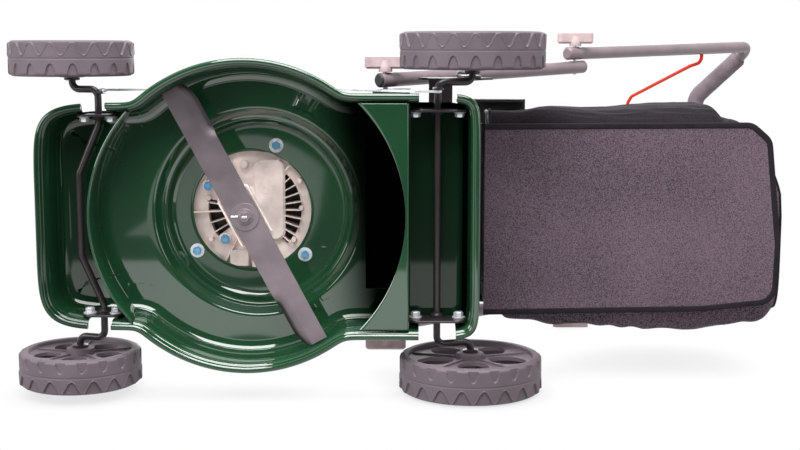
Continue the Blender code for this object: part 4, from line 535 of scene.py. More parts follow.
# Each kind's maker, material's name, colour, roughness, and the maker's other numbers: the
# drift's share and scale and the grain's scale and depth, or speck, scale, depth and sheen
BAKED = dict(coat=0.25, coat_rough=0.22, specular=0.35)
FINISHES = {
    "enamel": (enamel, "enamel", "enamel", 0.24, 0.10, 9.0, 240.0, 0.00004,
               dict(coat=0.90, coat_rough=0.05, specular=0.0)),
    "black_enamel": (drifting, "black_enamel", "black", 0.36, 0.20, 20.0, 300.0, 0.00005, BAKED),
    "tube_enamel": (drifting, "tube_enamel", "tube", 0.40, 0.14, 20.0, 300.0, 0.00005, BAKED),
    "blade_steel": (steel_with_painted_shade, "blade_steel_fine", "blade", 0.44, 0.14, 30.0, 260.0, 0.00004,
                    dict(metal=0.25)),
    "zinc": (drifting, "zinc", "zinc", 0.28, 0.12, 60.0, 700.0, 0.00005, dict(metal=0.45)),
    "blue_zinc": (drifting, "blue_zinc", "passivated", 0.28, 0.20, 90.0, 700.0, 0.00004,
                  dict(metal=0.55)),
    "cast_metal": (drifting, "cast_metal", "casting", 0.50, 0.20, 34.0, 520.0, 0.00022,
                   dict(metal=0.20)),
    "wheel_plastic": (drifting, "wheel_plastic_fine", "wheel", 0.60, 0.14, 18.0, 650.0, 0.00012,
                      {}),
    "black_plastic": (drifting, "black_plastic_fine", "plastic", 0.48, 0.15, 16.0, 800.0,
                      0.00010, {}),
    "knob_plastic": (drifting, "knob_plastic_fine", "knob", 0.55, 0.16, 60.0, 600.0, 0.00006, {}),
    "red_rod": (drifting, "red_rod_fine", "red", 0.32, 0.08, 20.0, 500.0, 0.00004,
                dict(specular=0.2)),
    "foam": (drifting, "foam", "foam", 0.92, 0.25, 40.0, 620.0, 0.00035,
             dict(kind="cells", sheen=0.15)),
    "hot_steel": (drifting, "hot_steel", "muffler", 0.42, 0.20, 14.0, 400.0, 0.00008,
                  dict(metal=0.85)),
    "piping": (drifting, "piping", "binding", 0.75, 0.30, 60.0, 700.0, 0.00020,
               dict(specular=0.15)),
    "bag_base": (woven, "bag_base_fine", "bag", 0.72, 0.52, 720.0, 0.0004, 0.06, {}),
    "bag_cloth": (woven, "bag_cloth_fine", "cloth", 0.80, 0.60, 700.0, 0.0005, 0.02, {}),
    "mesh_cloth": (netting, "mesh_cloth", "bag", 0.75, 0.90, 520.0, 0.0005, 0.02, {}),
}
# The materials made so far, by kind of finish
KEPT = {}


def finish_of(kind):
    """The one material of a kind, made when it is first asked for."""
    if kind not in KEPT:
        maker, name, color, *numbers, more = FINISHES[kind]
        color = getattr(bpy.context.scene.mower_colours, color)
        KEPT[kind] = maker(name, color, *numbers, **more)
    return KEPT[kind]


# Deck


def sizes():
    return bpy.context.scene.mower_sizes


def box_reach(angle, center_x, half_length, half_width, squareness):
    """The distance from the blade's axis to a rounded box, found by halving 40 times."""
    low, high = np.zeros_like(angle), np.ones_like(angle)
    for _ in range(40):
        middle = (low + high) / 2
        inside = (np.abs(middle * np.cos(angle) - center_x) / half_length) ** squareness + (
            np.abs(middle * np.sin(angle)) / half_width) ** squareness < 1
        low, high = np.where(inside, middle, low), np.where(inside, high, middle)
    return low


# Middle's x, half length, half width and squareness of the apron and of the rear box
APRON, REAR_BOX = (0.100, 0.190, 0.159, 6.5), (-0.160, 0.167, 0.172, 12.0)
CHAMBER = 0.220
MELT = 60   # the power that melts circle, apron and box together


def deck_reach(angle):
    """The deck's radius at an angle: the largest of circle, apron and rear box, melted."""
    front, rear = box_reach(angle, *APRON), box_reach(angle, *REAR_BOX)
    return (front ** MELT + rear ** MELT + CHAMBER ** MELT) ** (1 / MELT)


def deck_outline():
    """The deck's outline as 480 points (x, y) at even steps."""
    angle = full_turn(4000)
    ring = spaced(around_axis(deck_reach(angle), angle, 0), 0.001, True)
    at = np.linspace(0, len(ring), 480, endpoint=False).astype(int)
    return ring[at][:, :2]


def deck_section():
    """The deck's section as (inset, height): the lip rolled under, the wall, shoulder and roof."""
    roll, lip_z = sizes().lip_roll, 0.0400
    turn = np.linspace(-0.15 * np.pi, -1.35 * np.pi, 16)
    lip = np.stack([roll + roll * np.cos(turn), lip_z + roll + roll * np.sin(turn)], -1)
    wall = flat_path([lip[-1], (0.0092, 0.0500), (0.0112, 0.0560)], 0.006, 5)
    shoulder = flat_path([(0.0112, 0.0570), (0.0135, ROOF_Z), (0.0560, ROOF_Z)], 0.037, 18)
    return np.vstack([lip[:-1], wall, shoulder])


# How far the dome's edge stands back, its radius, and the radius of the engine's opening
DOME_SHIFT, DOME_EDGE, OPENING = -0.0115, 0.123, 0.0868


def dome_section():
    """The engine's dome as (radius, height): its foot, two rounded steps and the turned edge."""
    return flat_path([(0.160, ROOF_Z), (0.1495, ROOF_Z), (0.1400, 0.1215), (0.1345, 0.1228),
                      (0.1290, 0.1360), (DOME_EDGE, 0.1392), (0.1180, 0.1394), (0.0890, 0.1400),
                      (OPENING, 0.1414)], 0.0045, 6)


def deck_surface():
    """Rings of the outline moved in along its normals, then blending into circles for the dome."""
    outline = deck_outline()
    along = unit(np.roll(outline, -1, 0) - np.roll(outline, 1, 0))
    normal = np.stack([-along[:, 1], along[:, 0]], -1)
    around = unit(outline)
    rings = [np.column_stack([outline + normal * inset, np.full(len(outline), z)])
             for inset, z in deck_section()]
    last = rings[-1]
    dome = []
    for radius, z in dome_section():
        shift = DOME_SHIFT * smooth_step((radius - OPENING) / (DOME_EDGE - OPENING))
        dome.append(np.column_stack([around * radius + (shift, 0), np.full(len(outline), z)]))
    rings += [last * (1 - t) + dome[0] * t for t in np.linspace(0, 1, 8)[1:-1]]
    return grid(np.stack(rings + dome), wrap_v=True)


def solid_sheet(item, thickness, side):
    """Gives an open sheet a thickness, on one side or on both for side 0."""
    wall = item.modifiers.new("wall", "SOLIDIFY")
    wall.thickness = thickness
    wall.offset = side
    applied(item)


def opened(item, boxes):
    """Cuts an open sheet along the planes of each box, and takes out the faces inside the box."""
    build = bmesh.new()
    build.from_mesh(item.data)

    def faces_within(low, high, margin):
        return [face for face in build.faces
                if all(a - margin < c < b + margin
                       for a, c, b in zip(low, face.calc_center_median(), high))]

    for low, high in boxes:
        for axis, normal in enumerate(np.eye(3).tolist()):
            for at in (low[axis], high[axis]):
                near = {part for face in faces_within(low, high, 0.02)
                        for part in (*face.verts, *face.edges, face)}
                bmesh.ops.bisect_plane(build, geom=list(near), plane_co=[at] * 3,
                                       plane_no=normal, dist=2e-5)
        bmesh.ops.delete(build, geom=faces_within(low, high, 0.0), context="FACES")
    bmesh.ops.dissolve_degenerate(build, edges=build.edges[:], dist=5e-5)
    build.to_mesh(item.data)
    build.free()


def build_deck_shell():
    """The deck's sheet, opened at both axles and at the discharge."""
    item = new_piece("deck_skin", deck_surface(), "enamel", "chassis", ("deck_shell",), 50)
    wide = 0.5
    boxes = [((0.1885, -wide, 0.0), (0.2215, wide, 0.092)),
             ((-0.294, -wide, 0.0), (-0.242, wide, 0.095)),
             ((-0.300, -0.110, 0.101), (-0.166, 0.110, 0.125))]
    opened(item, (np.array(boxes) + LOCAL).tolist())
    solid_sheet(item, WALL, -1.0)
    smooth(item.data, 42)
    shade_throat(item.data)


def shade_throat(mesh):
    """Shades the inner roof round the chute's opening.

    It is a smooth step of the distance behind the blade's axis, times one that ends at the
    dome's edge, on faces that look down. The apron's roof has a little less than half of it.
    """
    at, normals = triples(mesh.vertices, "co") - LOCAL, triples(mesh.vertices, "normal")
    from_dome = np.hypot(at[:, 0] - DOME_SHIFT, at[:, 1])
    dark = smooth_step((-at[:, 0] - 0.090 + 0.12 * at[:, 1]) / 0.080)
    dark = dark * smooth_step((from_dome - DOME_EDGE - 0.006) / 0.012)
    dark = dark * smooth_step((at[:, 2] - 0.070) / 0.020)
    dark = np.maximum(dark, 0.45 * smooth_step((at[:, 0] - 0.205) / 0.020))
    dark = dark * smooth_step((-normals[:, 2] - 0.10) / 0.3)
    shaded(mesh, dark)


def build_roof_studs():
    """Three small weld studs, by their radius and angle about the blade's axis and their height."""
    studs = []
    for radius, angle, z in ((0.196, 39.5, ROOF_Z), (0.1655, 76.0, ROOF_Z), (0.116, 207.0, 0.1386)):
        turn = math.radians(angle)
        place = (radius * math.cos(turn), radius * math.sin(turn), z)
        studs.append(lathe([(THIN, 0), (0.0042, 0), (0.0040, -0.0010), (0.0024, -0.0016),
                            (0.0022, -0.0045), (THIN, -0.0048)], 20, place))
    new_piece("roof_studs", joined(*studs), "enamel", "chassis")


def half_width_at(x, inset):
    """How far out the deck reaches at x, less an inset."""
    angle = np.linspace(0.0, np.pi, 2000)
    reach = deck_reach(angle)
    order = np.argsort(reach * np.cos(angle))
    return np.interp(x, (reach * np.cos(angle))[order], (reach * np.sin(angle))[order]) - inset


def build_front_baffle():
    """A strip of rounded section carried along an arc about the blade's axis, over a bead."""
    radius, gap = 0.2165, 0.0175
    angle = np.linspace(-1.2, 1.2, 400)
    angle = angle[deck_reach(angle) - gap > radius + 0.0010]
    path = around_axis(radius, angle, 0.073)
    strip = carried(rounded_box(0.058, 0.0020, 0.0009, 3), path)
    bead = carried(circle(0.0019, 10), path + (0, 0, -0.0285))
    new_piece("front_baffle_strip", joined(strip, bead), "enamel", "chassis", ("front_baffle",))


def build_rear_panel():
    """A folded sheet: from the chamber's circle back, up at the fold, then back over the axle.

    At each place across, the front edge is x = -sqrt(R^2 - y^2), kept behind the throat.
    """
    across = np.linspace(-1, 1, 161)
    low, high, fold, bend = 0.0460, 0.1005, -0.2275, 0.003
    edge, throat, inset, inset_above = 0.2235, -0.130, 0.0135, 0.0215
    half_fold = float(half_width_at(fold, inset))
    rows = []

    def row(x, y, z):
        rows.append(np.stack([x + 0 * across, y, z + 0 * across], -1))

    for share in np.linspace(0, 1, 12):
        y = across * half_fold
        for _ in range(4):
            front = np.minimum(throat, -np.sqrt(np.maximum(edge ** 2 - y ** 2, 0.0)))
            x = front * (1 - share) + (fold + bend) * share
            y = across * half_width_at(x, inset)
        row(x, y, low)
    quarter = np.linspace(0, np.pi / 2, 7)
    for angle in quarter[1:]:
        row(fold + bend - bend * math.sin(angle), across * half_fold,
            low + bend * (1 - math.cos(angle)))
    for angle in quarter:
        row(fold - bend * (1 - math.cos(angle)), across * half_fold,
            high - bend + bend * math.sin(angle))
    for x in np.linspace(fold - bend - 0.001, -0.304, 8):
        row(x, across * float(half_width_at(x, inset_above)), high)
    item = new_piece("rear_panel_sheet", grid(np.stack(rows)), "enamel", "chassis",
                     ("rear_panel",), 60)
    solid_sheet(item, WALL, 0.0)
    item.data.shade_smooth()
    # Painted shade over the panel's upright fold and the part above it, 0.65 deep
    height = triples(item.data.vertices, "co")[:, 2]
    shaded(item.data, 0.65 * smooth_step((height - 0.052) / 0.030))


# The x and z of each axle's pivot in the chassis
PIVOTS = {"front": (0.205, 0.075), "rear": (-0.268, 0.085)}


def build_axle_brackets():
    """Four plates with chamfered lower corners inside the skirt, each with two hexagon bolts."""
    low, high, cut, thick = 0.050, 0.0925, 0.009, 0.003
    for end, half in (("front", 0.027), ("rear", 0.039)):
        x, z = PIVOTS[end]
        outline = flat_path([(x - half, low + cut), (x - half + cut, low), (x + half - cut, low),
                             (x + half, low + cut), (x + half, high), (x - half, high)],
                            0.003, 3, True)
        for side, name in SIDES:
            node = f"axle_bracket_{end}_{name}"
            outer = max(abs(corner[1]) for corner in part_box(node))
            plate = slab(outline, outer - thick, outer, "XZ", 0.0004)
            ear = rod([(x, outer - 0.0085, z), (x, outer - 0.001, z)], 0.0092, sides=28)
            bolt = mirrored(bolt_head(0.0068, 0.0080, 0.0092, axis="Y"))
            bolts = [shifted(bolt, (at, outer - thick, z - 0.006))
                     for at in (x - half + 0.0085, x + half - 0.0085)]
            new_piece(f"bracket_{end}_{name}", on_side(joined(plate, ear), side), "black_enamel",
                      "chassis", (node,))
            new_piece(f"bracket_bolts_{end}_{name}", on_side(joined(*bolts), side), "zinc",
                      "chassis")


def build_chute():
    """The hood in its own shape, whose faces that look at its middle are marked dark."""
    mesh = NODES["discharge_chute"].data.copy()
    mesh.materials.clear()
    mesh.materials.append(finish_of("enamel"))
    item = bpy.data.objects.new("chute_hood", mesh)
    bpy.context.scene.collection.objects.link(item)
    low, high = (np.array(corner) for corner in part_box("discharge_chute"))
    to_middle = (low + high) / 2 - triples(mesh.polygons, "center")
    shaded(mesh, (to_middle * triples(mesh.polygons, "normal")).sum(1) > 0, "FACE")
    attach(item, "chassis")
    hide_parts("discharge_chute")


def repaint(kind, *names):
    """CAD nodes whose shape is right, with a new material in all their slots."""
    for name in names:
        materials = NODES[name].data.materials
        if not len(materials):
            materials.append(None)
        for index in range(len(materials)):
            materials[index] = finish_of(kind)


# Engine underside


# Radius, width, first and last angle of the two rows of hollows in the casting's floor
CASE_POCKETS = ((0.0590, 0.0240, 134, 226), (0.0545, 0.0220, -38, 13))
BOLT_PLACES = [(0.1005 * math.cos(math.radians(a)), 0.1005 * math.sin(math.radians(a)))
               for a in (111.0, -36.5, -139.5)]
SCREW_PLACES = ((0.0636, 0.0346), (0.0400, -0.0430))


def build_crankcase():
    """A turned case whose floor carries a raised ring, then cut by radial pockets between ribs."""
    profile = [(0.0135, 0.0600), (0.0135, 0.0030), (0.0185, 0.0005), (0.0250, 0.0005),
               (0.0275, 0.0065), (0.0330, 0.0090), (0.0930, 0.0090), (0.0955, 0.0008),
               (0.1005, 0.0002), (0.1010, 0.0095), (0.0860, 0.0140), (0.0822, 0.0200),
               (0.0820, 0.0817), (0.0740, 0.0877), (0.0135, 0.0877)]
    case = lathe(flat_path(profile, 0.0016, 3), 128, (0, 0, CASE_Z), closed=True)
    item = new_piece("crankcase_casting", case, "cast_metal", "chassis", ("crankcase",), 40)
    carved(item, [arc_bar(*pocket, CASE_Z - 0.0100, CASE_Z + 0.0275) for pocket in CASE_POCKETS])
    # Painted shade: black sheets just in front of the pockets' floors make the hollows dark
    shade_sheets = [arc_bar(*pocket, CASE_Z + 0.0255, CASE_Z + 0.0270) for pocket in CASE_POCKETS]
    new_piece("case_hollows", joined(*shade_sheets), "black_plastic", "chassis")


def arc_bar(radius, width, first, last, low, high):
    """A bar of rounded section along an arc about the blade's axis, between two angles."""
    path = around_axis(radius, np.radians(np.linspace(first, last, 40)), (low + high) / 2)
    return carried(rounded_box(high - low, width, min(0.0015, (high - low) / 3), 3), path)


def fin(angle, near, far, thick, low, high):
    """A thin radial wall at an angle in degrees, between two heights above the casting's foot."""
    path = around_axis(np.linspace(near, far, 10), math.radians(angle),
                       CASE_Z + (low + high) / 2)
    return carried(rounded_box(high - low, thick, 0.0006, 3), path)


def build_case_details():
    """Bosses, the raised panel, thin fins across both hollows and the pads along the low edge."""
    parts = [closed_lathe([(0.0125, 0.0010), (0.0138, 0.0030), (0.0142, 0.0098)], 36,
                          (x, y, CASE_Z)) for x, y in BOLT_PLACES]
    panel = rounded_box(0.046, 0.118, 0.014, 8) + (-0.0245, 0.0135)
    parts.append(slab(panel, CASE_Z - 0.0010, CASE_Z + 0.0100, "XY", 0.0030))
    parts.append(lathe([(0.0035, -0.0010), (0.0037, -0.0018), (0.0053, -0.0018),
                        (0.0056, -0.0010)], 36, (-0.0190, 0.0290, CASE_Z), closed=True))
    for (x, y), radius in ((SCREW_PLACES[0], 0.0088), (SCREW_PLACES[1], 0.0085),
                           ((0.0115, 0.0660), 0.0062), ((-0.0712, 0.0024), 0.0036),
                           ((-0.0690, 0.0420), 0.0036), ((0.0636, 0.0170), 0.0036),
                           ((0.0610, -0.0440), 0.0036), ((-0.0600, -0.0440), 0.0040)):
        parts.append(closed_lathe([(radius * 0.80, -0.0010), (radius, 0.0004),
                                   (radius * 1.10, 0.0200)], 30, (x, y, CASE_Z)))
    # Angle, near and far end, thickness, and heights above the casting's foot
    fins = [(angle, 0.0450, 0.0730, 0.0015, 0.0010, 0.0265) for angle in np.linspace(140, 222, 9)]
    fins += [(angle, 0.0400, far, thick, 0.0, 0.0265) for angle, far, thick in (
        (-31, 0.067, 0.0015), (-18, 0.067, 0.0015), (-3, 0.088, 0.0022), (9, 0.067, 0.0015))]
    fins += [(angle, 0.0500, 0.0880, 0.0024, 0.0030, 0.0095)
             for angle in (-62, -100, 64, 118, 130)]
    parts += [fin(*numbers) for numbers in fins]
    for low, high, under in (((0.006, -0.084), (0.034, -0.060), 0.00004),
                             ((-0.010, -0.086), (0.002, -0.052), 0.00132),
                             ((0.012, -0.078), (0.028, -0.066), 0.0010)):
        parts.append(block((*low, CASE_Z + under), (*high, CASE_Z + 0.0100), 0.0018))
    new_piece("crankcase_ribs", joined(*parts), "cast_metal", "chassis", angle=40)


def build_engine_screws():
    """The three flange bolts on pale washers, and the smaller screws of the casting's floor."""
    under = 0.1380
    washers = [lathe([(0.0045, -0.0016), (0.0100, -0.0016), (0.0105, -0.0010),
                      (0.0105, -0.0002), (0.0045, -0.0002)], 36, (x, y, under), closed=True)
               for x, y in BOLT_PLACES]
    heads = [hung(hexagon(0.0062, 0.0, 0.0064), (x, y, under - 0.0014), 0.4 + index)
             for index, (x, y) in enumerate(BOLT_PLACES)]
    small = [hung(bolt_head(0.0052, 0.0046, 0.0068), (x, y, 0.1392)) for x, y in SCREW_PLACES]
    new_piece("engine_bolt_heads", joined(*heads), "blue_zinc", "chassis",
              ("engine_bolt_1", "engine_bolt_2", "engine_bolt_3"))
    new_piece("engine_bolt_washers", joined(*washers), "zinc", "chassis")
    new_piece("case_screws", joined(*small), "blue_zinc", "chassis")


# Blade, its carrier and bolt


BLADE_TURN = Matrix.Rotation(math.radians(62), 4, "Z")


def build_blade():
    """A bar as a grid of (along, round the section).

    Past the sails' start the leading edge is ground thin, and the trailing edge rises as a
    smooth step along the blade times a power of the distance behind the middle.
    """
    half, start, tip_length, sail_length = 0.203, sizes().sail_start, 0.030, 0.024
    thick, ground, lift = 0.0030, 0.0019, 0.0108
    along = np.linspace(-half, half, 161)[:, None]
    top = np.cos(np.linspace(0.0, np.pi, 31))[None, :]
    side = -np.sign(along)
    tip = np.clip((np.abs(along) - (half - tip_length)) / tip_length, 0, 1) ** 2
    wide = 0.0199 - 0.0090 * tip * np.clip(0.5 - side * top, 0, 1)
    share = smooth_step((np.abs(along) - start) / sail_length)
    behind = np.clip((-side * top - 0.20) / 0.80, 0, 1) ** 1.4
    ahead = np.clip((side * top - 0.55) / 0.45, 0, 1)
    rise = lift * share * behind
    upper = np.stack([along + 0 * top, wide * top, thick - ground * share * ahead + rise], -1)
    lower = np.stack([along + 0 * top, wide * top, rise + 0 * top], -1)[:, ::-1]
    shape = moved(grid(np.concatenate([upper, lower], 1), wrap_v=True, caps=True),
                  Matrix.Translation((0, 0, BLADE_Z)) @ BLADE_TURN)
    item = new_piece("blade_bar", shape, "blade_steel", "crank_group", ("blade",), 30)
    # Painted shade on the raised sails, and growing towards the blade's +Y end
    at = triples(item.data.vertices, "co")
    lifted = smooth_step((at[:, 2] - BLADE_Z - 0.0035) / 0.004)
    shaded(item.data, np.maximum(lifted, 0.80 * smooth_step((at[:, 1] + 0.02) / 0.20)))


def build_carrier():
    """The blade's carrier: a plate with round corners, a cone hub above it and two pins."""
    plate = slab(rounded_box(0.082, 0.050, 0.007, 6), 0.0583, 0.0643, "XY", 0.0014)
    lips = [slab(rounded_box(0.070, 0.0030, 0.0012, 3) + (0, y), 0.0556, 0.0600, "XY", 0.0006)
            for y in (-0.0233, 0.0233)]
    hub = lathe([(0.0118, 0.0640), (0.0240, 0.0640), (0.0236, 0.0700), (0.0192, 0.0985),
                 (0.0180, 0.1000), (0.0118, 0.1000)], 64, closed=True)
    # These two run along the rod's default side, so their points are not numbers and don't show
    pins = [rod([(x, 0, 0.0534), (x, 0, 0.0600)], 0.0038, sides=24) for x in (-0.0255, 0.0255)]
    washer = lathe([(0.0052, 0.0547), (0.0195, 0.0547), (0.0197, 0.0540), (0.0192, 0.0535),
                    (0.0120, 0.0531), (0.0112, 0.0522), (0.0052, 0.0520)], 72, closed=True)
    bolt = hung(bolt_head(0.0082, 0.0052, 0.0096, 0.0012), (0, 0, 0.0520))
    # Painted highlight: the key on the washer and the dot just outside the bolt's head are bright
    # zinc strips for a highlight streak
    key = slab(rounded_box(0.0150, 0.0028, 0.0012, 4) + (0.0125, 0.0006), 0.0514, 0.0524, "XY",
               0.0003)
    dot = slab(rounded_box(0.0080, 0.0030, 0.0014, 4) + (0.0, 0.0006), 0.0454, 0.0462, "XY",
               0.0003)
    shaft = lathe([(0.0108, 0.0680), (0.0110, 0.0690), (0.0110, 0.1500), (0.0125, 0.1520),
                   (0.0125, 0.2380), (0.0090, 0.2440), (0.0090, 0.3070)], 48)
    body = "crank_group"
    new_piece("carrier", joined(moved(joined(plate, *lips), BLADE_TURN), hub), "cast_metal", body,
              ("blade_carrier",))
    new_piece("carrier_pins", moved(joined(*pins), BLADE_TURN), "zinc", body)
    new_piece("blade_washer_cup", washer, "blade_steel", body, ("blade_washer",))
    new_piece("blade_bolt_head", bolt, "blade_steel", body, ("blade_bolt",))
    new_piece("bolt_lock", joined(key, dot), "zinc", body)
    new_piece("shaft", shaft, "zinc", body, ("crankshaft",))
    repaint("cast_metal", "flywheel_fan")


# Wheels and axles


# End, radius, width, and the place of the inner face's middle on the left
WHEELS = (("front", 0.0867, 0.049, 0.2435, 0.1945, 0.086751),
          ("rear", 0.1031, 0.052, -0.317, 0.204, 0.10311))


def tyre(radius, width):
    """A closed ring whose tread drops past a sine line and at its middle groove.

    At angle a and height v from the middle, the radius is R less a depth times a smooth step of
    the distance past v0 + A sin(k a), on the outer half, and less at scallops on the inner half.
    """
    deep, ridge, slope = 0.0022, 0.0009, 0.0011
    angle = full_turn(720)[:, None]
    flat = np.linspace(-0.5, 0.5, 73)
    v = (flat * (width - 0.005))[None, :]
    wave = np.sin(round(sizes().tread_waves * radius / WHEELS[0][1]) * angle)
    line = width * (0.27 + 0.175 * wave)
    arch = width * (0.50 - 0.37 * np.sqrt(np.clip(wave * 1.1 - 0.1, 0, 1)))
    drop = deep * (smooth_step((v - line) / slope) + smooth_step((-v - arch) / slope))
    drop = drop + 0.0006 * np.exp(-(v / 0.0010) ** 2)
    drop = drop - ridge * np.exp(-((v - line + 0.0005) / 0.0007) ** 2)
    edge = np.clip((np.abs(flat) - 0.44) / 0.06, 0, 1) ** 2
    tread = radius - ridge - np.maximum(drop, -ridge) * (1 - 0.5 * edge) - 0.0012 * edge
    walls = np.array([(0.0048, width - 0.0012), (0.0070, width), (0.0130, width - 0.0004),
                      (0.0148, width - 0.0030), (0.0152, width * 0.5), (0.0150, 0.0030),
                      (0.0130, 0.0004), (0.0070, 0.0), (0.0048, 0.0012)])
    reach = np.concatenate([tread, radius - walls[:, 0] + 0 * angle], 1)
    height = np.concatenate([v + width / 2 + 0 * angle, walls[:, 1] + 0 * angle], 1)
    points = np.stack([reach * np.cos(angle), height, -reach * np.sin(angle)], -1)
    return grid(points, wrap_u=True, wrap_v=True)


def almond(middle, half_length, half_depth):
    """A window's outline: along cos t, across sin t to the power 1.4."""
    turn = full_turn(40)
    across = np.sign(np.sin(turn)) * np.abs(np.sin(turn)) ** 1.4 * half_depth
    return np.stack([middle + across, half_length * np.cos(turn)], -1)


def five_times(shape, first):
    """A shape at five even turns about Y, from an angle in degrees."""
    return [turned(shape, math.radians(72 * index + first), "Y") for index in range(5)]


def wheel_disc(radius, name, body, place, side):
    """The wheel's disc, with five windows cut through it."""
    hub, rim = 0.020, radius - 0.0145
    disc = lathe([(0.0190, 0.0070), (0.0300, 0.0066), (rim - 0.006, 0.0066), (rim, 0.0050),
                  (rim, 0.0130), (rim - 0.006, 0.0118), (0.0300, 0.0118), (0.0190, 0.0130)],
                 144, axis="Y", closed=True)
    outline = almond((hub + rim) / 2, 0.023 * radius / 0.104, (rim - hub) / 2 - 0.007)
    item = new_piece(name, placed(disc, place, side), "wheel_plastic", body)
    carved(item, [placed(cutter, place, side)
                  for cutter in five_times(slab(outline, -0.004, 0.030, "XZ"), 20.0)])


def placed(shape, place, side):
    """A shape made on the Y axis from its inner face outwards, put at a wheel's place."""
    return on_side(shifted(shape, place), side)


def build_wheels():
    """Each wheel in two pieces: the tyre with its hub and ribs, and the disc with its windows."""
    for end, radius, width, *place in WHEELS:
        far = radius - 0.0140
        hub = lathe([(0.0056, -0.0020), (0.0165, -0.0020), (0.0195, -0.0008), (0.0205, 0.0080),
                     (0.0200, 0.0150), (0.0185, width - 0.0100), (0.0170, width - 0.0090),
                     (0.0056, width - 0.0090)], 72, axis="Y", closed=True)
        ribs = joined(block((0.0180, 0.0040, -0.0013), (far, 0.0130, 0.0013), 0.0006),
                      block((0.0180, 0.0115, -0.0016), (far, 0.0300, 0.0016), 0.0006))
        whole = joined(tyre(radius, width), hub, *five_times(ribs, 56.0))
        for side, name in SIDES:
            body = f"wheel_{end[0]}{name[0]}"
            new_piece(f"tyre_{body}", placed(whole, place, side), "wheel_plastic", body,
                      (f"wheel_{end}_{name}",))
            wheel_disc(radius, f"disc_{body}", body, place, side)


def there_and_back(half):
    """A path on the mower's left, then its mirror image back on the right."""
    return [tuple(point) for point in half] + [(x, -y, z) for x, y, z in reversed(half)]


# The arm's y, the stub's height above the pivot, the tab's y and the stub's far end
ARMS = {"front": (0.176, 0.030, 0.1712, 0.1768), "rear": (0.186, -0.039, 0.1778, 0.1722)}


def build_axles():
    """Both cranked rods, with a cup inside each wheel, a nut outside it, a tab and its stub."""
    for end, radius, width, x, inner_y, z in WHEELS:
        arm_y, lift, tab_y, stub_y = ARMS[end]
        pivot_x, pivot_z = PIVOTS[end]
        half = [(x, inner_y + width - 0.0015, z), (x, arm_y, z), (pivot_x, arm_y, pivot_z)]
        if end == "front":
            half += [(pivot_x, 0.128, pivot_z), (pivot_x + 0.030, 0.058, pivot_z)]
        cup = lathe([(0.0052, -0.0042), (0.0085, -0.0042), (0.0112, -0.0030),
                     (0.0112, -0.0002), (0.0052, -0.0002)], 40, axis="Y", closed=True)
        nut = hexagon(0.0094, 0.0, 0.0068, "Y")
        cups = [placed(cup, (x, inner_y - 0.0023, z), side) for side, _ in SIDES]
        nuts = [placed(nut, (x, inner_y + width - 0.0087, z), side) for side, _ in SIDES]
        tab = rounded_box(0.014, abs(lift) + 0.014, 0.0069, 6) + (pivot_x, pivot_z + lift / 2)
        tab = slab(tab, tab_y - 0.0015, tab_y + 0.0015, "XZ", 0.0004)
        stub = rod([(pivot_x, y, pivot_z + lift) for y in sorted((tab_y, stub_y))], 0.0029)
        body = f"{end}_axle_group"
        new_piece(f"{end}_axle_rod", rod(there_and_back(half), 0.005, 0.011, 20, (0.3, 0.2, 1)),
                  "black_enamel", body, (f"{end}_axle",))
        new_piece(f"{end}_axle_cups", joined(*cups, tab), "black_enamel", body)
        new_piece(f"{end}_axle_nuts", joined(*nuts, stub), "zinc", body)
    repaint("zinc", "height_link")
    repaint("black_enamel", "height_lever", "height_quadrant")


# Handle, its knobs, foam and bail


def on_line(start, end, distance):
    """The point of a line at a distance from its start towards its end."""
    return start + unit(end - start) * distance


# Middles of the left handle tube's ends and bends, and how far outside it the upper tube stands
FOOT, ELBOW = np.array((-0.192, 0.186, 0.215)), np.array((-0.512, 0.200, 0.549))
CORNER, BAR = np.array((-0.925, 0.235, 1.000)), np.array((-0.832, 0.128, 1.086))
OFFSET = 0.024
UPPER_ELBOW = ELBOW + (0, OFFSET, 0)
TUBE = 0.011


def build_lower_handle():
    """Both lower tubes with their plugs; the brackets keep their CAD shape."""
    low, high = on_line(FOOT, ELBOW, -0.014), on_line(ELBOW, FOOT, -0.024)
    tube = rod(low + (high - low) * np.linspace(0, 1, 30)[:, None], TUBE, sides=32)
    plugs = joined(*[rod([on_line(p, q, -0.0012), on_line(p, q, 0.004)], 0.0102, sides=32)
                     for p, q in ((low, high), (high, low))])
    for side, name in SIDES:
        new_piece(f"lower_tube_{name}", on_side(tube, side), "tube_enamel", "lower_handle",
                  (f"lower_handle_{name}",))
        new_piece(f"lower_plugs_{name}", on_side(plugs, side), "black_plastic", "lower_handle")
    repaint("black_enamel", "handle_bracket_left", "handle_bracket_right")


def build_upper_handle():
    """The bent upper tube, with the foam swollen round its cross bar."""
    half = [on_line(UPPER_ELBOW, CORNER, -0.024), CORNER, BAR]
    path = rounded_path(there_and_back(half), 0.034, 14)
    new_piece("upper_tube", rod(spaced(path, 0.006), TUBE, sides=32), "tube_enamel",
              "upper_handle_group", ("upper_handle",))
    middle = spaced(path[15:-15], 0.004)
    share = np.linspace(0, 1, len(middle))
    ends = np.minimum(1.0, np.minimum(share, 1 - share) * len(middle) / 1.2)
    swell = 0.0168 + 0.00015 * np.sin(share * 90.0)
    scale = swell * (0.86 + 0.14 * np.sqrt(ends))
    grip = new_piece("foam_grip", carried(circle(1.0, 40), middle, scale=scale), "foam",
                     "upper_handle_group", ("handle_grip",))


def build_bail():
    """The red bail's rod: out of each side tube, up, then across ahead of the grip."""
    pivot = UPPER_ELBOW + (CORNER - UPPER_ELBOW) * 0.685
    half = [pivot + (0, -0.0015, 0), pivot + (0, -0.026, 0), pivot + (0.018, -0.034, 0.022),
            (-0.688, 0.132, 1.036), (-0.682, 0.118, 1.047)]
    new_piece("bail_rod", rod(there_and_back(half), 0.0035, 0.014, 18, (0.2, 0.3, 1)), "red_rod",
              "bail", ("bail_bar",))


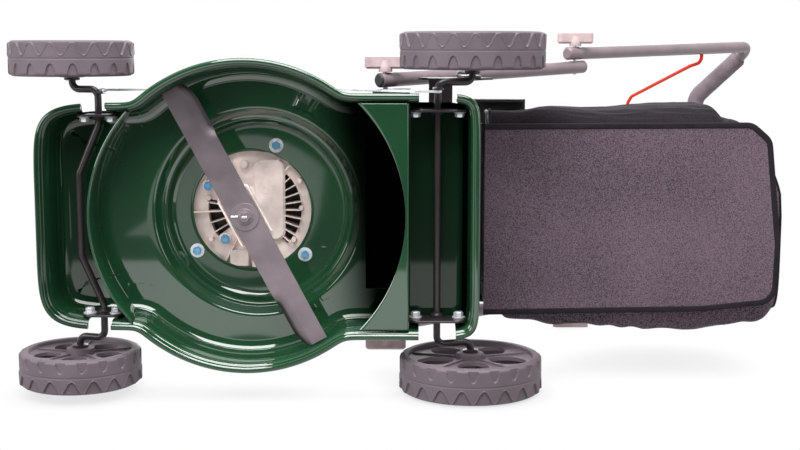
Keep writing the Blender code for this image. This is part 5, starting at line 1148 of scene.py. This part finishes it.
def wing_knob(seat_y, inner_y):
    """A hub with a two-winged bar whose outline is cos and sin raised to powers, and its stud."""
    turn = full_turn(64)
    length, waist = 0.0308, 0.0085
    x = np.sign(np.cos(turn)) * np.abs(np.cos(turn)) ** 0.75 * length
    z = np.sign(np.sin(turn)) * np.abs(np.sin(turn)) ** 0.60 * waist * (
        0.80 + 0.35 * (x / length) ** 2)
    wings = slab(np.stack([x, z], -1), seat_y + 0.0045, seat_y + 0.0252, "XZ", 0.0030)
    hub = closed_lathe([(0.0100, 0.0), (0.0104, 0.0012), (0.0092, 0.0100), (0.0078, 0.0165)], 44,
                       (0, seat_y, 0), "Y")
    stud = rod([(0, inner_y, 0), (0, seat_y + 0.004, 0)], 0.0039, sides=24, side=(1, 0, 0))
    return joined(wings, hub), stud


def build_knobs():
    """The wing knobs at the handle's feet and elbows, each on its stud."""
    for place, offset, parent, inner_y in ((FOOT, 0.0, "foot_knob", 0.1685),
                                           (ELBOW, OFFSET, "elbow_knob", 0.1875)):
        knob, stud = wing_knob(place[1] + offset + 0.0120, inner_y)
        place = (place[0], 0, place[2])
        for side, name in SIDES:
            body = f"{parent}_{name[0]}"
            new_piece(f"{body}_wings", placed(knob, place, side), "knob_plastic", body,
                      (f"{parent}_{name}",))
            new_piece(f"{body}_stud", placed(stud, place, side), "zinc", body)


# Grass bag


# Distance back, share of the full width, and rise of the floor and of the top, down the bag
STATIONS = np.array([
    (0.000, 0.86, 0.000, 0.000), (0.055, 0.88, 0.000, 0.004), (0.080, 0.92, 0.000, 0.030),
    (0.135, 0.96, 0.000, 0.116), (0.215, 1.00, 0.000, 0.169), (0.315, 1.00, 0.000, 0.184),
    (0.380, 0.99, 0.002, 0.170), (0.419, 0.95, 0.014, 0.112), (0.436, 0.84, 0.036, 0.070)])
BAG_LENGTH = STATIONS[-1][0]
BAG_FRONT, BAG_FLOOR, BAG_TOP, BAG_HALF = -0.3448, 0.158, 0.236, 0.165
SQUARE = 0.4   # the power of cos and sin that gives the bag's ring its round corners
# The mower lies on its right side, so the cloth hangs towards -Y
HANG, DROOP, DENT, REAR_ROUND = 0.015, 0.014, 0.020, 0.040


def eased(column, at):
    """A column of the stations by a curve that keeps their slopes (Catmull and Rom's)."""
    positions, values = STATIONS[:, 0], STATIONS[:, column]
    index = np.clip(np.searchsorted(positions, at, side="right") - 1, 0, len(values) - 2)
    slopes = np.gradient(values, positions)
    wide = positions[index + 1] - positions[index]
    t = (at - positions[index]) / wide
    first, last = values[index], values[index + 1]
    slope_in, slope_out = wide * slopes[index], wide * slopes[index + 1]
    return ((2 * t ** 3 - 3 * t ** 2 + 1) * first + (t ** 3 - 2 * t ** 2 + t) * slope_in
            + (3 * t ** 2 - 2 * t ** 3) * last + (t ** 3 - t ** 2) * slope_out)


def bag_point(back, turn, out=0.0):
    """The bag's skin at a distance back and an angle round it.

    The ring is cos and sin to the power 2/5 times half the width and height. Between its seams
    the cloth sags inwards, most at the middle of each side, and soft folds run across it. All of
    it hangs towards -Y by smooth steps of the distance back, and the low side bellies out further
    in waves whose length is about 50 mm.
    """
    share, sag = eased(1, back), sizes().bag_sag
    floor, top = BAG_FLOOR + eased(2, back), BAG_TOP + eased(3, back)
    cosine, sine = np.cos(turn), np.sin(turn)
    y = -np.sign(cosine) * np.abs(cosine) ** SQUARE * share * BAG_HALF
    z = np.sign(sine) * np.abs(sine) ** SQUARE
    bulge = np.sin(np.pi * np.clip(back / BAG_LENGTH, 0, 1))
    side = np.exp(-((np.abs(cosine) - 1) / 0.35) ** 2) * bulge
    roof = np.exp(-((sine - 1) / 0.30) ** 2) * bulge
    folds = (0.0016 * np.sin(9.0 * turn + 26.0 * back) * bulge
             + 0.0010 * np.sin(17.0 * turn - 61.0 * back + 1.3))
    y = y * (1 - sag * side / BAG_HALF * (0.7 + 0.5 * np.sin(14.0 * back)))
    z = (top + floor) / 2 + z * ((top - floor) / 2 - 0.5 * sag * roof) + 0 * back
    above = smooth_step((z - floor - 0.004) / 0.03)
    y = y - np.sign(y) * np.abs(folds) * above + np.sign(y) * out
    high_side = smooth_step(0.5 + y / 0.16)
    mouth = smooth_step(back / 0.030)
    hang = HANG * ((1 - high_side) * mouth + high_side * smooth_step((back - 0.050) / 0.150))
    waves = 0.0012 * np.sin(125.0 * back + 2.0 * np.sin(31.0 * back) + 5.0 * z)
    belly = (DROOP + waves) * above * mouth * (1 - 0.85 * smooth_step((back - 0.290) / 0.120))
    dent = DENT * smooth_step((back - 0.345) / 0.045) * smooth_step((y - 0.06) / 0.06) * above
    y = y - hang - belly * smooth_step((-y - 0.03) / 0.09) - dent
    rounding = REAR_ROUND * smooth_step((back - 0.280) / 0.150) * smooth_step(y / 0.13)
    return np.stack([BAG_FRONT - back + rounding, y, z], -1)


def build_bag():
    """A cloth shell whose last rings close over a puffed back, with netting where it is sheer."""
    full = full_turn(240)
    points = bag_point(np.linspace(0.0, BAG_LENGTH, 200)[:, None], full[None, :])
    rear = points[-1]
    middle, puff = rear.mean(0) + (-0.002, 0, 0), 0.0060
    rings = [rear] + [
        rear * (1 - t) + middle * t - (puff * math.sin(math.pi * min(1, 1.15 * t) / 2), 0, 0)
        for t in (0.06, 0.16, 0.32, 0.52, 0.72, 0.88)]
    flat, faces = grid(np.stack(rings), wrap_v=True)
    last = (len(rings) - 1) * len(full) + np.arange(len(full))
    fan = np.stack([last, np.roll(last, -1), np.full(len(full), len(flat))], -1)
    tail = np.vstack([flat, middle - (puff, 0, 0)]), faces + [fan]
    item = new_piece("bag_shell", joined(grid(points, wrap_v=True), tail), "bag_cloth",
                     "grass_bag", ("bag_cloth",), 60, normals=False)
    item.data.materials.append(finish_of("mesh_cloth"))
    x, y, z = (triples(item.data.polygons, "center") - LOCAL).T
    sheer = ((y < -0.13) & (z < 0.212) & (z > 0.166)) | ((x < -0.765) & (y > -0.03))
    item.data.polygons.foreach_set("material_index", sheer.astype(np.int32))
    clean(item.data)
    solid_sheet(item, 0.0012, -1.0)


def build_bag_seams():
    """Piping: rounds carried along the seams between the bag's panels and round its mouth."""
    seams, radius = [], sizes().piping
    back = np.linspace(0.0, BAG_LENGTH - 0.001, 160)
    for degrees in (24, 156):
        path = bag_point(back, np.full_like(back, math.radians(degrees)), 0.0010)
        seams.append(carried(circle(0.6 * radius, 10), spaced(path, 0.004)))
    turn = full_turn(240)
    for back in (0.0015, BAG_LENGTH - 0.0015):
        path = spaced(bag_point(np.full_like(turn, back), turn, 0.0006), 0.004, True)
        seams.append(carried(circle(1.1 * radius, 10), path, (1, 0, 0), ring=True))
    new_piece("bag_piping", joined(*seams), "piping", "grass_bag")


def build_bag_floor():
    """A stiff panel with round corners under the floor, and its bound edge."""
    low, high = 0.1537, 0.1567
    outline = flat_path([(-0.3375, 0.1200), (-0.7240, 0.1225), (-0.7500, 0.1000),
                         (-0.7670, -0.0530), (-0.7650, -0.1220), (-0.7520, -0.1370),
                         (-0.6570, -0.1470), (-0.3375, -0.1530)], 0.020)
    new_piece("bag_floor", slab(outline, low, high, "XY", 0.0010), "bag_base", "grass_bag",
              ("bag_base",))
    edge = np.column_stack([outline, np.full(len(outline), low + 0.0012)])
    hem = carried(rounded_box(0.0044, 0.0090, 0.0020), spaced(edge, 0.004))
    new_piece("bag_floor_hem", hem, "piping", "grass_bag")


def build_bag_wire():
    """The mouth's wire with its hooks, and the carrying handle on the roof."""
    x, half, low, high = -0.3415, 0.1399, 0.160, 0.234
    loop = [(x, half, high), (x, half, low), (x, -half, low), (x, -half, high)]
    parts = [carried(circle(0.0030), rounded_path(loop, 0.022, 8, True), (1, 0, 0), ring=True)]
    for side, _ in SIDES:
        y = side * 0.1197
        near, far = sorted((y, side * half))
        parts.append(block((x - 0.001, y - 0.0014, 0.222), (-0.304, y + 0.0014, 0.233)))
        parts.append(block((x - 0.0015, near, 0.223), (x + 0.0012, far, 0.232), 0.0008))
    new_piece("bag_wire", joined(*parts), "black_enamel", "grass_bag", ("bag_frame",))
    first, second = BAG_FRONT - 0.235, BAG_FRONT - 0.305
    arch = [(first, 0, 0.4104), (first - 0.008, 0, 0.4540), (second + 0.008, 0, 0.4560),
            (second, 0, 0.4203)]
    path = spaced(rounded_path(arch, 0.014), 0.003)
    new_piece("bag_grip", carried(circle(0.0058, 20), path, (0, 1, 0)), "black_plastic",
              "grass_bag", ("bag_handle",))


# Flap


def build_flap():
    """The flap in its CAD shape, and its hinge rod."""
    repaint("black_plastic", "rear_flap")
    hinge = rod([(-0.300, y, 0.2695) for y in (-0.128, 0.128)], 0.0035, sides=24)
    new_piece("flap_rod", hinge, "zinc", "flap", ("flap_hinge_rod",))


def build_upper_engine():
    """The CAD shapes above the deck keep their nodes, with fine materials."""
    repaint("cast_metal", "cylinder", "cylinder_head", "rocker_cover", "carburettor")
    repaint("black_plastic", "air_filter_box", "fuel_tank", "blower_housing", "starter_cover",
            "spark_plug_cap", "fuel_cap", "oil_dipstick", "recoil_pulley", "starter_grip")
    repaint("hot_steel", "muffler")
    repaint("black_enamel", "muffler_guard")
    repaint("zinc", "spark_plug")


# Camera, light and stage


def emitter(name):
    """A new material, its node tree and its emission shader."""
    made = bpy.data.materials.new(name)
    made.use_nodes = True
    tree = made.node_tree
    tree.nodes.remove(principled(tree))
    light = tree.nodes.new("ShaderNodeEmission")
    tree.links.new(light.outputs[0], tree.nodes["Material Output"].inputs["Surface"])
    return made, tree, light


def stage_face(made, first, opposite, seen_by):
    """A rectangle square to an axis, between two corners, that only one kind of ray sees."""
    corners = np.array([first, first, opposite, opposite], float)
    axis = np.argmax(corners[0] != corners[2])
    corners[[1, 3], axis] = opposite[axis], first[axis]
    item = linked(made.name, (corners, [np.array([[0, 1, 2, 3]])]))
    item.data.materials.append(made)
    for ray in ("camera", "diffuse", "glossy", "transmission", "shadow", "volume_scatter"):
        setattr(item, f"visible_{ray}", ray == seen_by)


def backdrop(name, first, opposite):
    """A white face that only the camera sees, from its front, darker near the mower."""
    made, tree, light = emitter(name)
    near = tree.nodes.new("ShaderNodeAmbientOcclusion")
    near.samples = 16
    near.inputs["Distance"].default_value = 0.10
    tone = mixed(tree, ramp(tree, near.outputs["AO"], 0.10, 0.80), (0.7, 0.7, 0.7), (1, 1, 1))
    tree.links.new(tone, light.inputs["Color"])
    back = tree.nodes.new("ShaderNodeNewGeometry")
    see_through(tree, back.outputs["Backfacing"], light.outputs[0], into=1)
    stage_face(made, first, opposite, "camera")


def dark_card(first, opposite):
    """A dark card behind the camera, paler towards -Y, which only reflections show."""
    made, tree, light = emitter("dark_card")
    place = tree.nodes.new("ShaderNodeTexCoord")
    split = tree.nodes.new("ShaderNodeSeparateXYZ")
    tree.links.new(place.outputs["Object"], split.inputs[0])
    tree.links.new(ramp(tree, split.outputs["Y"], -0.20, -1.80, 0.05, 0.62),
                   light.inputs["Strength"])
    stage_face(made, first, opposite, "glossy")


def soft_box(name, first, opposite, strength):
    """A bright panel that only reflections show."""
    made, _, light = emitter(name)
    light.inputs["Strength"].default_value = strength
    stage_face(made, first, opposite, "glossy")


def build_world():
    """White for the camera and in reflections, and a lower level as ambient light."""
    world = bpy.data.worlds.new("studio")
    bpy.context.scene.world = world
    world.use_nodes = True
    tree = world.node_tree
    path = tree.nodes.new("ShaderNodeLightPath")
    shown = path.outputs["Is Camera Ray"]
    for kind in ("Is Glossy Ray", "Is Transmission Ray"):
        add = tree.nodes.new("ShaderNodeMath")
        add.operation = "MAXIMUM"
        tree.links.new(shown, add.inputs[0])
        tree.links.new(path.outputs[kind], add.inputs[1])
        shown = add.outputs[0]
    level = ramp(tree, shown, 0.0, 1.0, bpy.context.scene.mower_stage.ambient, 1.0)
    back = tree.nodes["Background"]
    back.inputs["Color"].default_value = (1, 1, 1, 1)
    tree.links.new(level, back.inputs["Strength"])


def lamp(name, place, aim, width, height, power):
    """A rectangular area lamp that looks at its aim and that the camera doesn't see."""
    data = bpy.data.lights.new(name, "AREA")
    data.shape = "RECTANGLE"
    data.size, data.size_y, data.energy = width, height, power
    item = bpy.data.objects.new(name, data)
    bpy.context.scene.collection.objects.link(item)
    item.location = place
    item.rotation_euler = (Vector(aim) - Vector(place)).to_track_quat("-Z", "Y").to_euler()
    item.visible_camera = False


def build_camera():
    """Looks along w with the mower's left side up in the image, as fitted to the photograph."""
    stage = bpy.context.scene.mower_stage
    yaw, pitch, roll = stage.yaw, stage.pitch, stage.roll
    ahead = Vector((-math.cos(pitch) * math.sin(yaw), -math.sin(pitch),
                    math.cos(pitch) * math.cos(yaw)))
    right = Vector((-math.cos(yaw), 0.0, -math.sin(yaw)))
    up = Vector((-math.sin(pitch) * math.sin(yaw), math.cos(pitch),
                 math.sin(pitch) * math.cos(yaw)))
    turn = Matrix((right, up, -ahead)).transposed()
    data = bpy.data.cameras.new("camera")
    data.sensor_width = 36.0
    data.lens = stage.lens
    data.clip_start, data.clip_end = 0.05, 60.0
    item = bpy.data.objects.new("camera", data)
    item.location = stage.place
    item.rotation_euler = (turn @ Matrix.Rotation(roll, 3, "Z")).to_euler()
    bpy.context.scene.collection.objects.link(item)
    bpy.context.scene.camera = item


# Name, place, aim, width, height and share of the key's power
LAMPS = (("key", (0.3, 2.2, -1.6), (0.0, 0.0, 0.1), 1.6, 1.2, 1.0),
         ("left", (2.2, 0.8, -1.2), (0.2, 0.0, 0.1), 1.0, 1.4, 0.55),
         ("right", (-2.0, 0.6, -1.4), (0.0, 0.0, 0.2), 1.0, 1.4, 0.10),
         ("rim", (-0.2, 2.6, -0.3), (0.0, 0.0, 0.2), 2.6, 0.7, 1.5),
         ("above", (0.0, 0.6, 3.0), (0.0, 0.0, 0.5), 2.0, 1.6, 0.6))


def build_stage():
    """Camera, world, backdrop, the panels that only reflections show, and the lamps."""
    scene = bpy.context.scene
    scene.view_settings.view_transform = "Standard"
    build_camera()
    build_world()
    far, side, card_z = 9.0, -0.2575, -2.6
    backdrop("side_floor", (far, side, -far), (-far, side, far))
    backdrop("ground", (-far, -far, 0.0), (far, far, 0.0))
    dark_card((-4.5, -1.9, card_z), (4.5, 4.5, card_z))
    soft_box("low_box", (-0.5, -0.24, -0.22), (0.9, -0.24, -0.95), 1.6)
    soft_box("far_box", (0.48, -0.24, -1.35), (0.80, -0.24, -2.4), 0.9)
    soft_box("side_box", (-2.3, -0.1, -1.0), (-2.3, 1.1, -2.3), 1.6)
    for name, place, aim, width, height, share in LAMPS:
        lamp(name, place, aim, width, height, scene.mower_stage.key * share)


# Add-on: properties, operators and panel


def tint(label, value):
    return FloatVectorProperty(name=label, description=f"Colour of {label.lower()}",
                               subtype="COLOR", size=3, min=0.0, max=1.0, default=value)


def length(label, value, text):
    return FloatProperty(name=label, description=text, unit="LENGTH", default=value, min=0.0)


def angle(label, degrees, text):
    return FloatProperty(name=label, description=text, subtype="ANGLE", unit="ROTATION",
                         default=math.radians(degrees))


class MowerColours(bpy.types.PropertyGroup):
    enamel: tint("Deck enamel", (0.0110, 0.052, 0.0215))
    black: tint("Black enamel", (0.024, 0.018, 0.021))
    blade: tint("Blade steel", (0.185, 0.150, 0.165))
    zinc: tint("Zinc plate", (0.740, 0.760, 0.800))
    passivated: tint("Blue passivation", (0.160, 0.400, 0.640))
    casting: tint("Casting", (0.720, 0.610, 0.570))
    wheel: tint("Wheels", (0.116, 0.088, 0.105))
    plastic: tint("Black plastic", (0.020, 0.020, 0.021))
    knob: tint("Knobs", (0.500, 0.375, 0.385))
    red: tint("Bail", (0.800, 0.042, 0.014))
    foam: tint("Foam", (0.180, 0.142, 0.160))
    bag: tint("Bag floor", (0.086, 0.061, 0.078))
    cloth: tint("Bag cloth", (0.009, 0.0065, 0.0095))
    binding: tint("Bag binding", (0.014, 0.011, 0.015))
    tube: tint("Handle tubes", (0.200, 0.152, 0.167))
    muffler: tint("Muffler", (0.300, 0.290, 0.280))


class MowerSizes(bpy.types.PropertyGroup):
    lip_roll: length("Lip roll", 0.0045, "Radius of the deck's rolled lip")
    sail_start: length("Sail start", 0.113, "Distance from the bolt at which the blade lifts")
    bag_sag: length("Bag sag", 0.006, "How far the bag's sides hang in between its seams")
    piping: length("Piping", 0.0022, "Radius of the bag's piping")
    tread_waves: IntProperty(name="Tread waves", description="Waves round each tyre's tread",
                             default=18, min=3, max=60)


class MowerStage(bpy.types.PropertyGroup):
    place: FloatVectorProperty(name="Camera", description="Place of the camera", size=3,
                               subtype="TRANSLATION", unit="LENGTH",
                               default=(0.0567, 0.2353, -1.7962))
    yaw: angle("Yaw", -0.74, "Camera's turn about the mower's left")
    pitch: angle("Pitch", 7.57, "Camera's tilt to the mower's right")
    roll: angle("Roll", 0.04, "Camera's turn about its own axis")
    lens: FloatProperty(name="Lens", description="Focal length in millimetres", default=60.43)
    ambient: FloatProperty(name="Ambient", description="Level of the ambient light",
                           default=0.55, min=0.0)
    key: FloatProperty(name="Key", description="Power of the key light in watts", default=60.0,
                       min=0.0)


def operator(name, label, text, steps):
    """An Operator class that runs some build steps."""

    def execute(self, context):
        for step in steps:
            step()
        return {"FINISHED"}

    return type("MOWER_OT_" + name, (bpy.types.Operator,),
                {"__doc__": text, "bl_idname": "mower." + name, "bl_label": label,
                 "execute": execute})


OPERATORS = [
    operator("deck", "Deck", "Builds the deck with its baffle, panel, brackets and chute",
             (build_deck_shell, build_roof_studs, build_front_baffle, build_rear_panel,
              build_axle_brackets, build_chute, build_flap)),
    operator("engine", "Engine", "Builds the crankcase as seen through the deck",
             (build_crankcase, build_case_details, build_engine_screws, build_upper_engine)),
    operator("blade", "Blade", "Builds the blade, its carrier and bolt",
             (build_blade, build_carrier)),
    operator("wheels", "Wheels", "Builds the four wheels", (build_wheels,)),
    operator("axles", "Axles", "Builds the cranked axles", (build_axles,)),
    operator("handle", "Handle", "Builds the handle, knobs, foam and bail",
             (build_lower_handle, build_upper_handle, build_bail, build_knobs)),
    operator("bag", "Grass bag", "Builds the grass bag",
             (build_bag, build_bag_seams, build_bag_floor, build_bag_wire)),
    operator("stage", "Stage", "Builds the camera, lights and backdrop", (build_stage,)),
]


class MOWER_PT_sidebar(bpy.types.Panel):
    """Sizes, colours and build buttons of the mower."""

    bl_label = "Petrol lawn mower"
    bl_space_type = "VIEW_3D"
    bl_region_type = "UI"
    bl_category = "Mower"

    def draw(self, context):
        for made in OPERATORS:
            self.layout.operator(made.bl_idname)
        for group in (context.scene.mower_sizes, context.scene.mower_colours,
                      context.scene.mower_stage):
            box = self.layout.box()
            for key in group.bl_rna.properties.keys():
                if key not in ("rna_type", "name"):
                    box.prop(group, key)


CLASSES = [MowerColours, MowerSizes, MowerStage, *OPERATORS, MOWER_PT_sidebar]


def register():
    for made in CLASSES:
        bpy.utils.register_class(made)
    bpy.types.Scene.mower_colours = PointerProperty(type=MowerColours)
    bpy.types.Scene.mower_sizes = PointerProperty(type=MowerSizes)
    bpy.types.Scene.mower_stage = PointerProperty(type=MowerStage)


def unregister():
    del bpy.types.Scene.mower_stage
    del bpy.types.Scene.mower_sizes
    del bpy.types.Scene.mower_colours
    for made in reversed(CLASSES):
        bpy.utils.unregister_class(made)


def main():
    register()
    for made in OPERATORS:
        getattr(bpy.ops.mower, made.bl_idname.split(".")[1])()


if __name__ == "__main__":
    main()
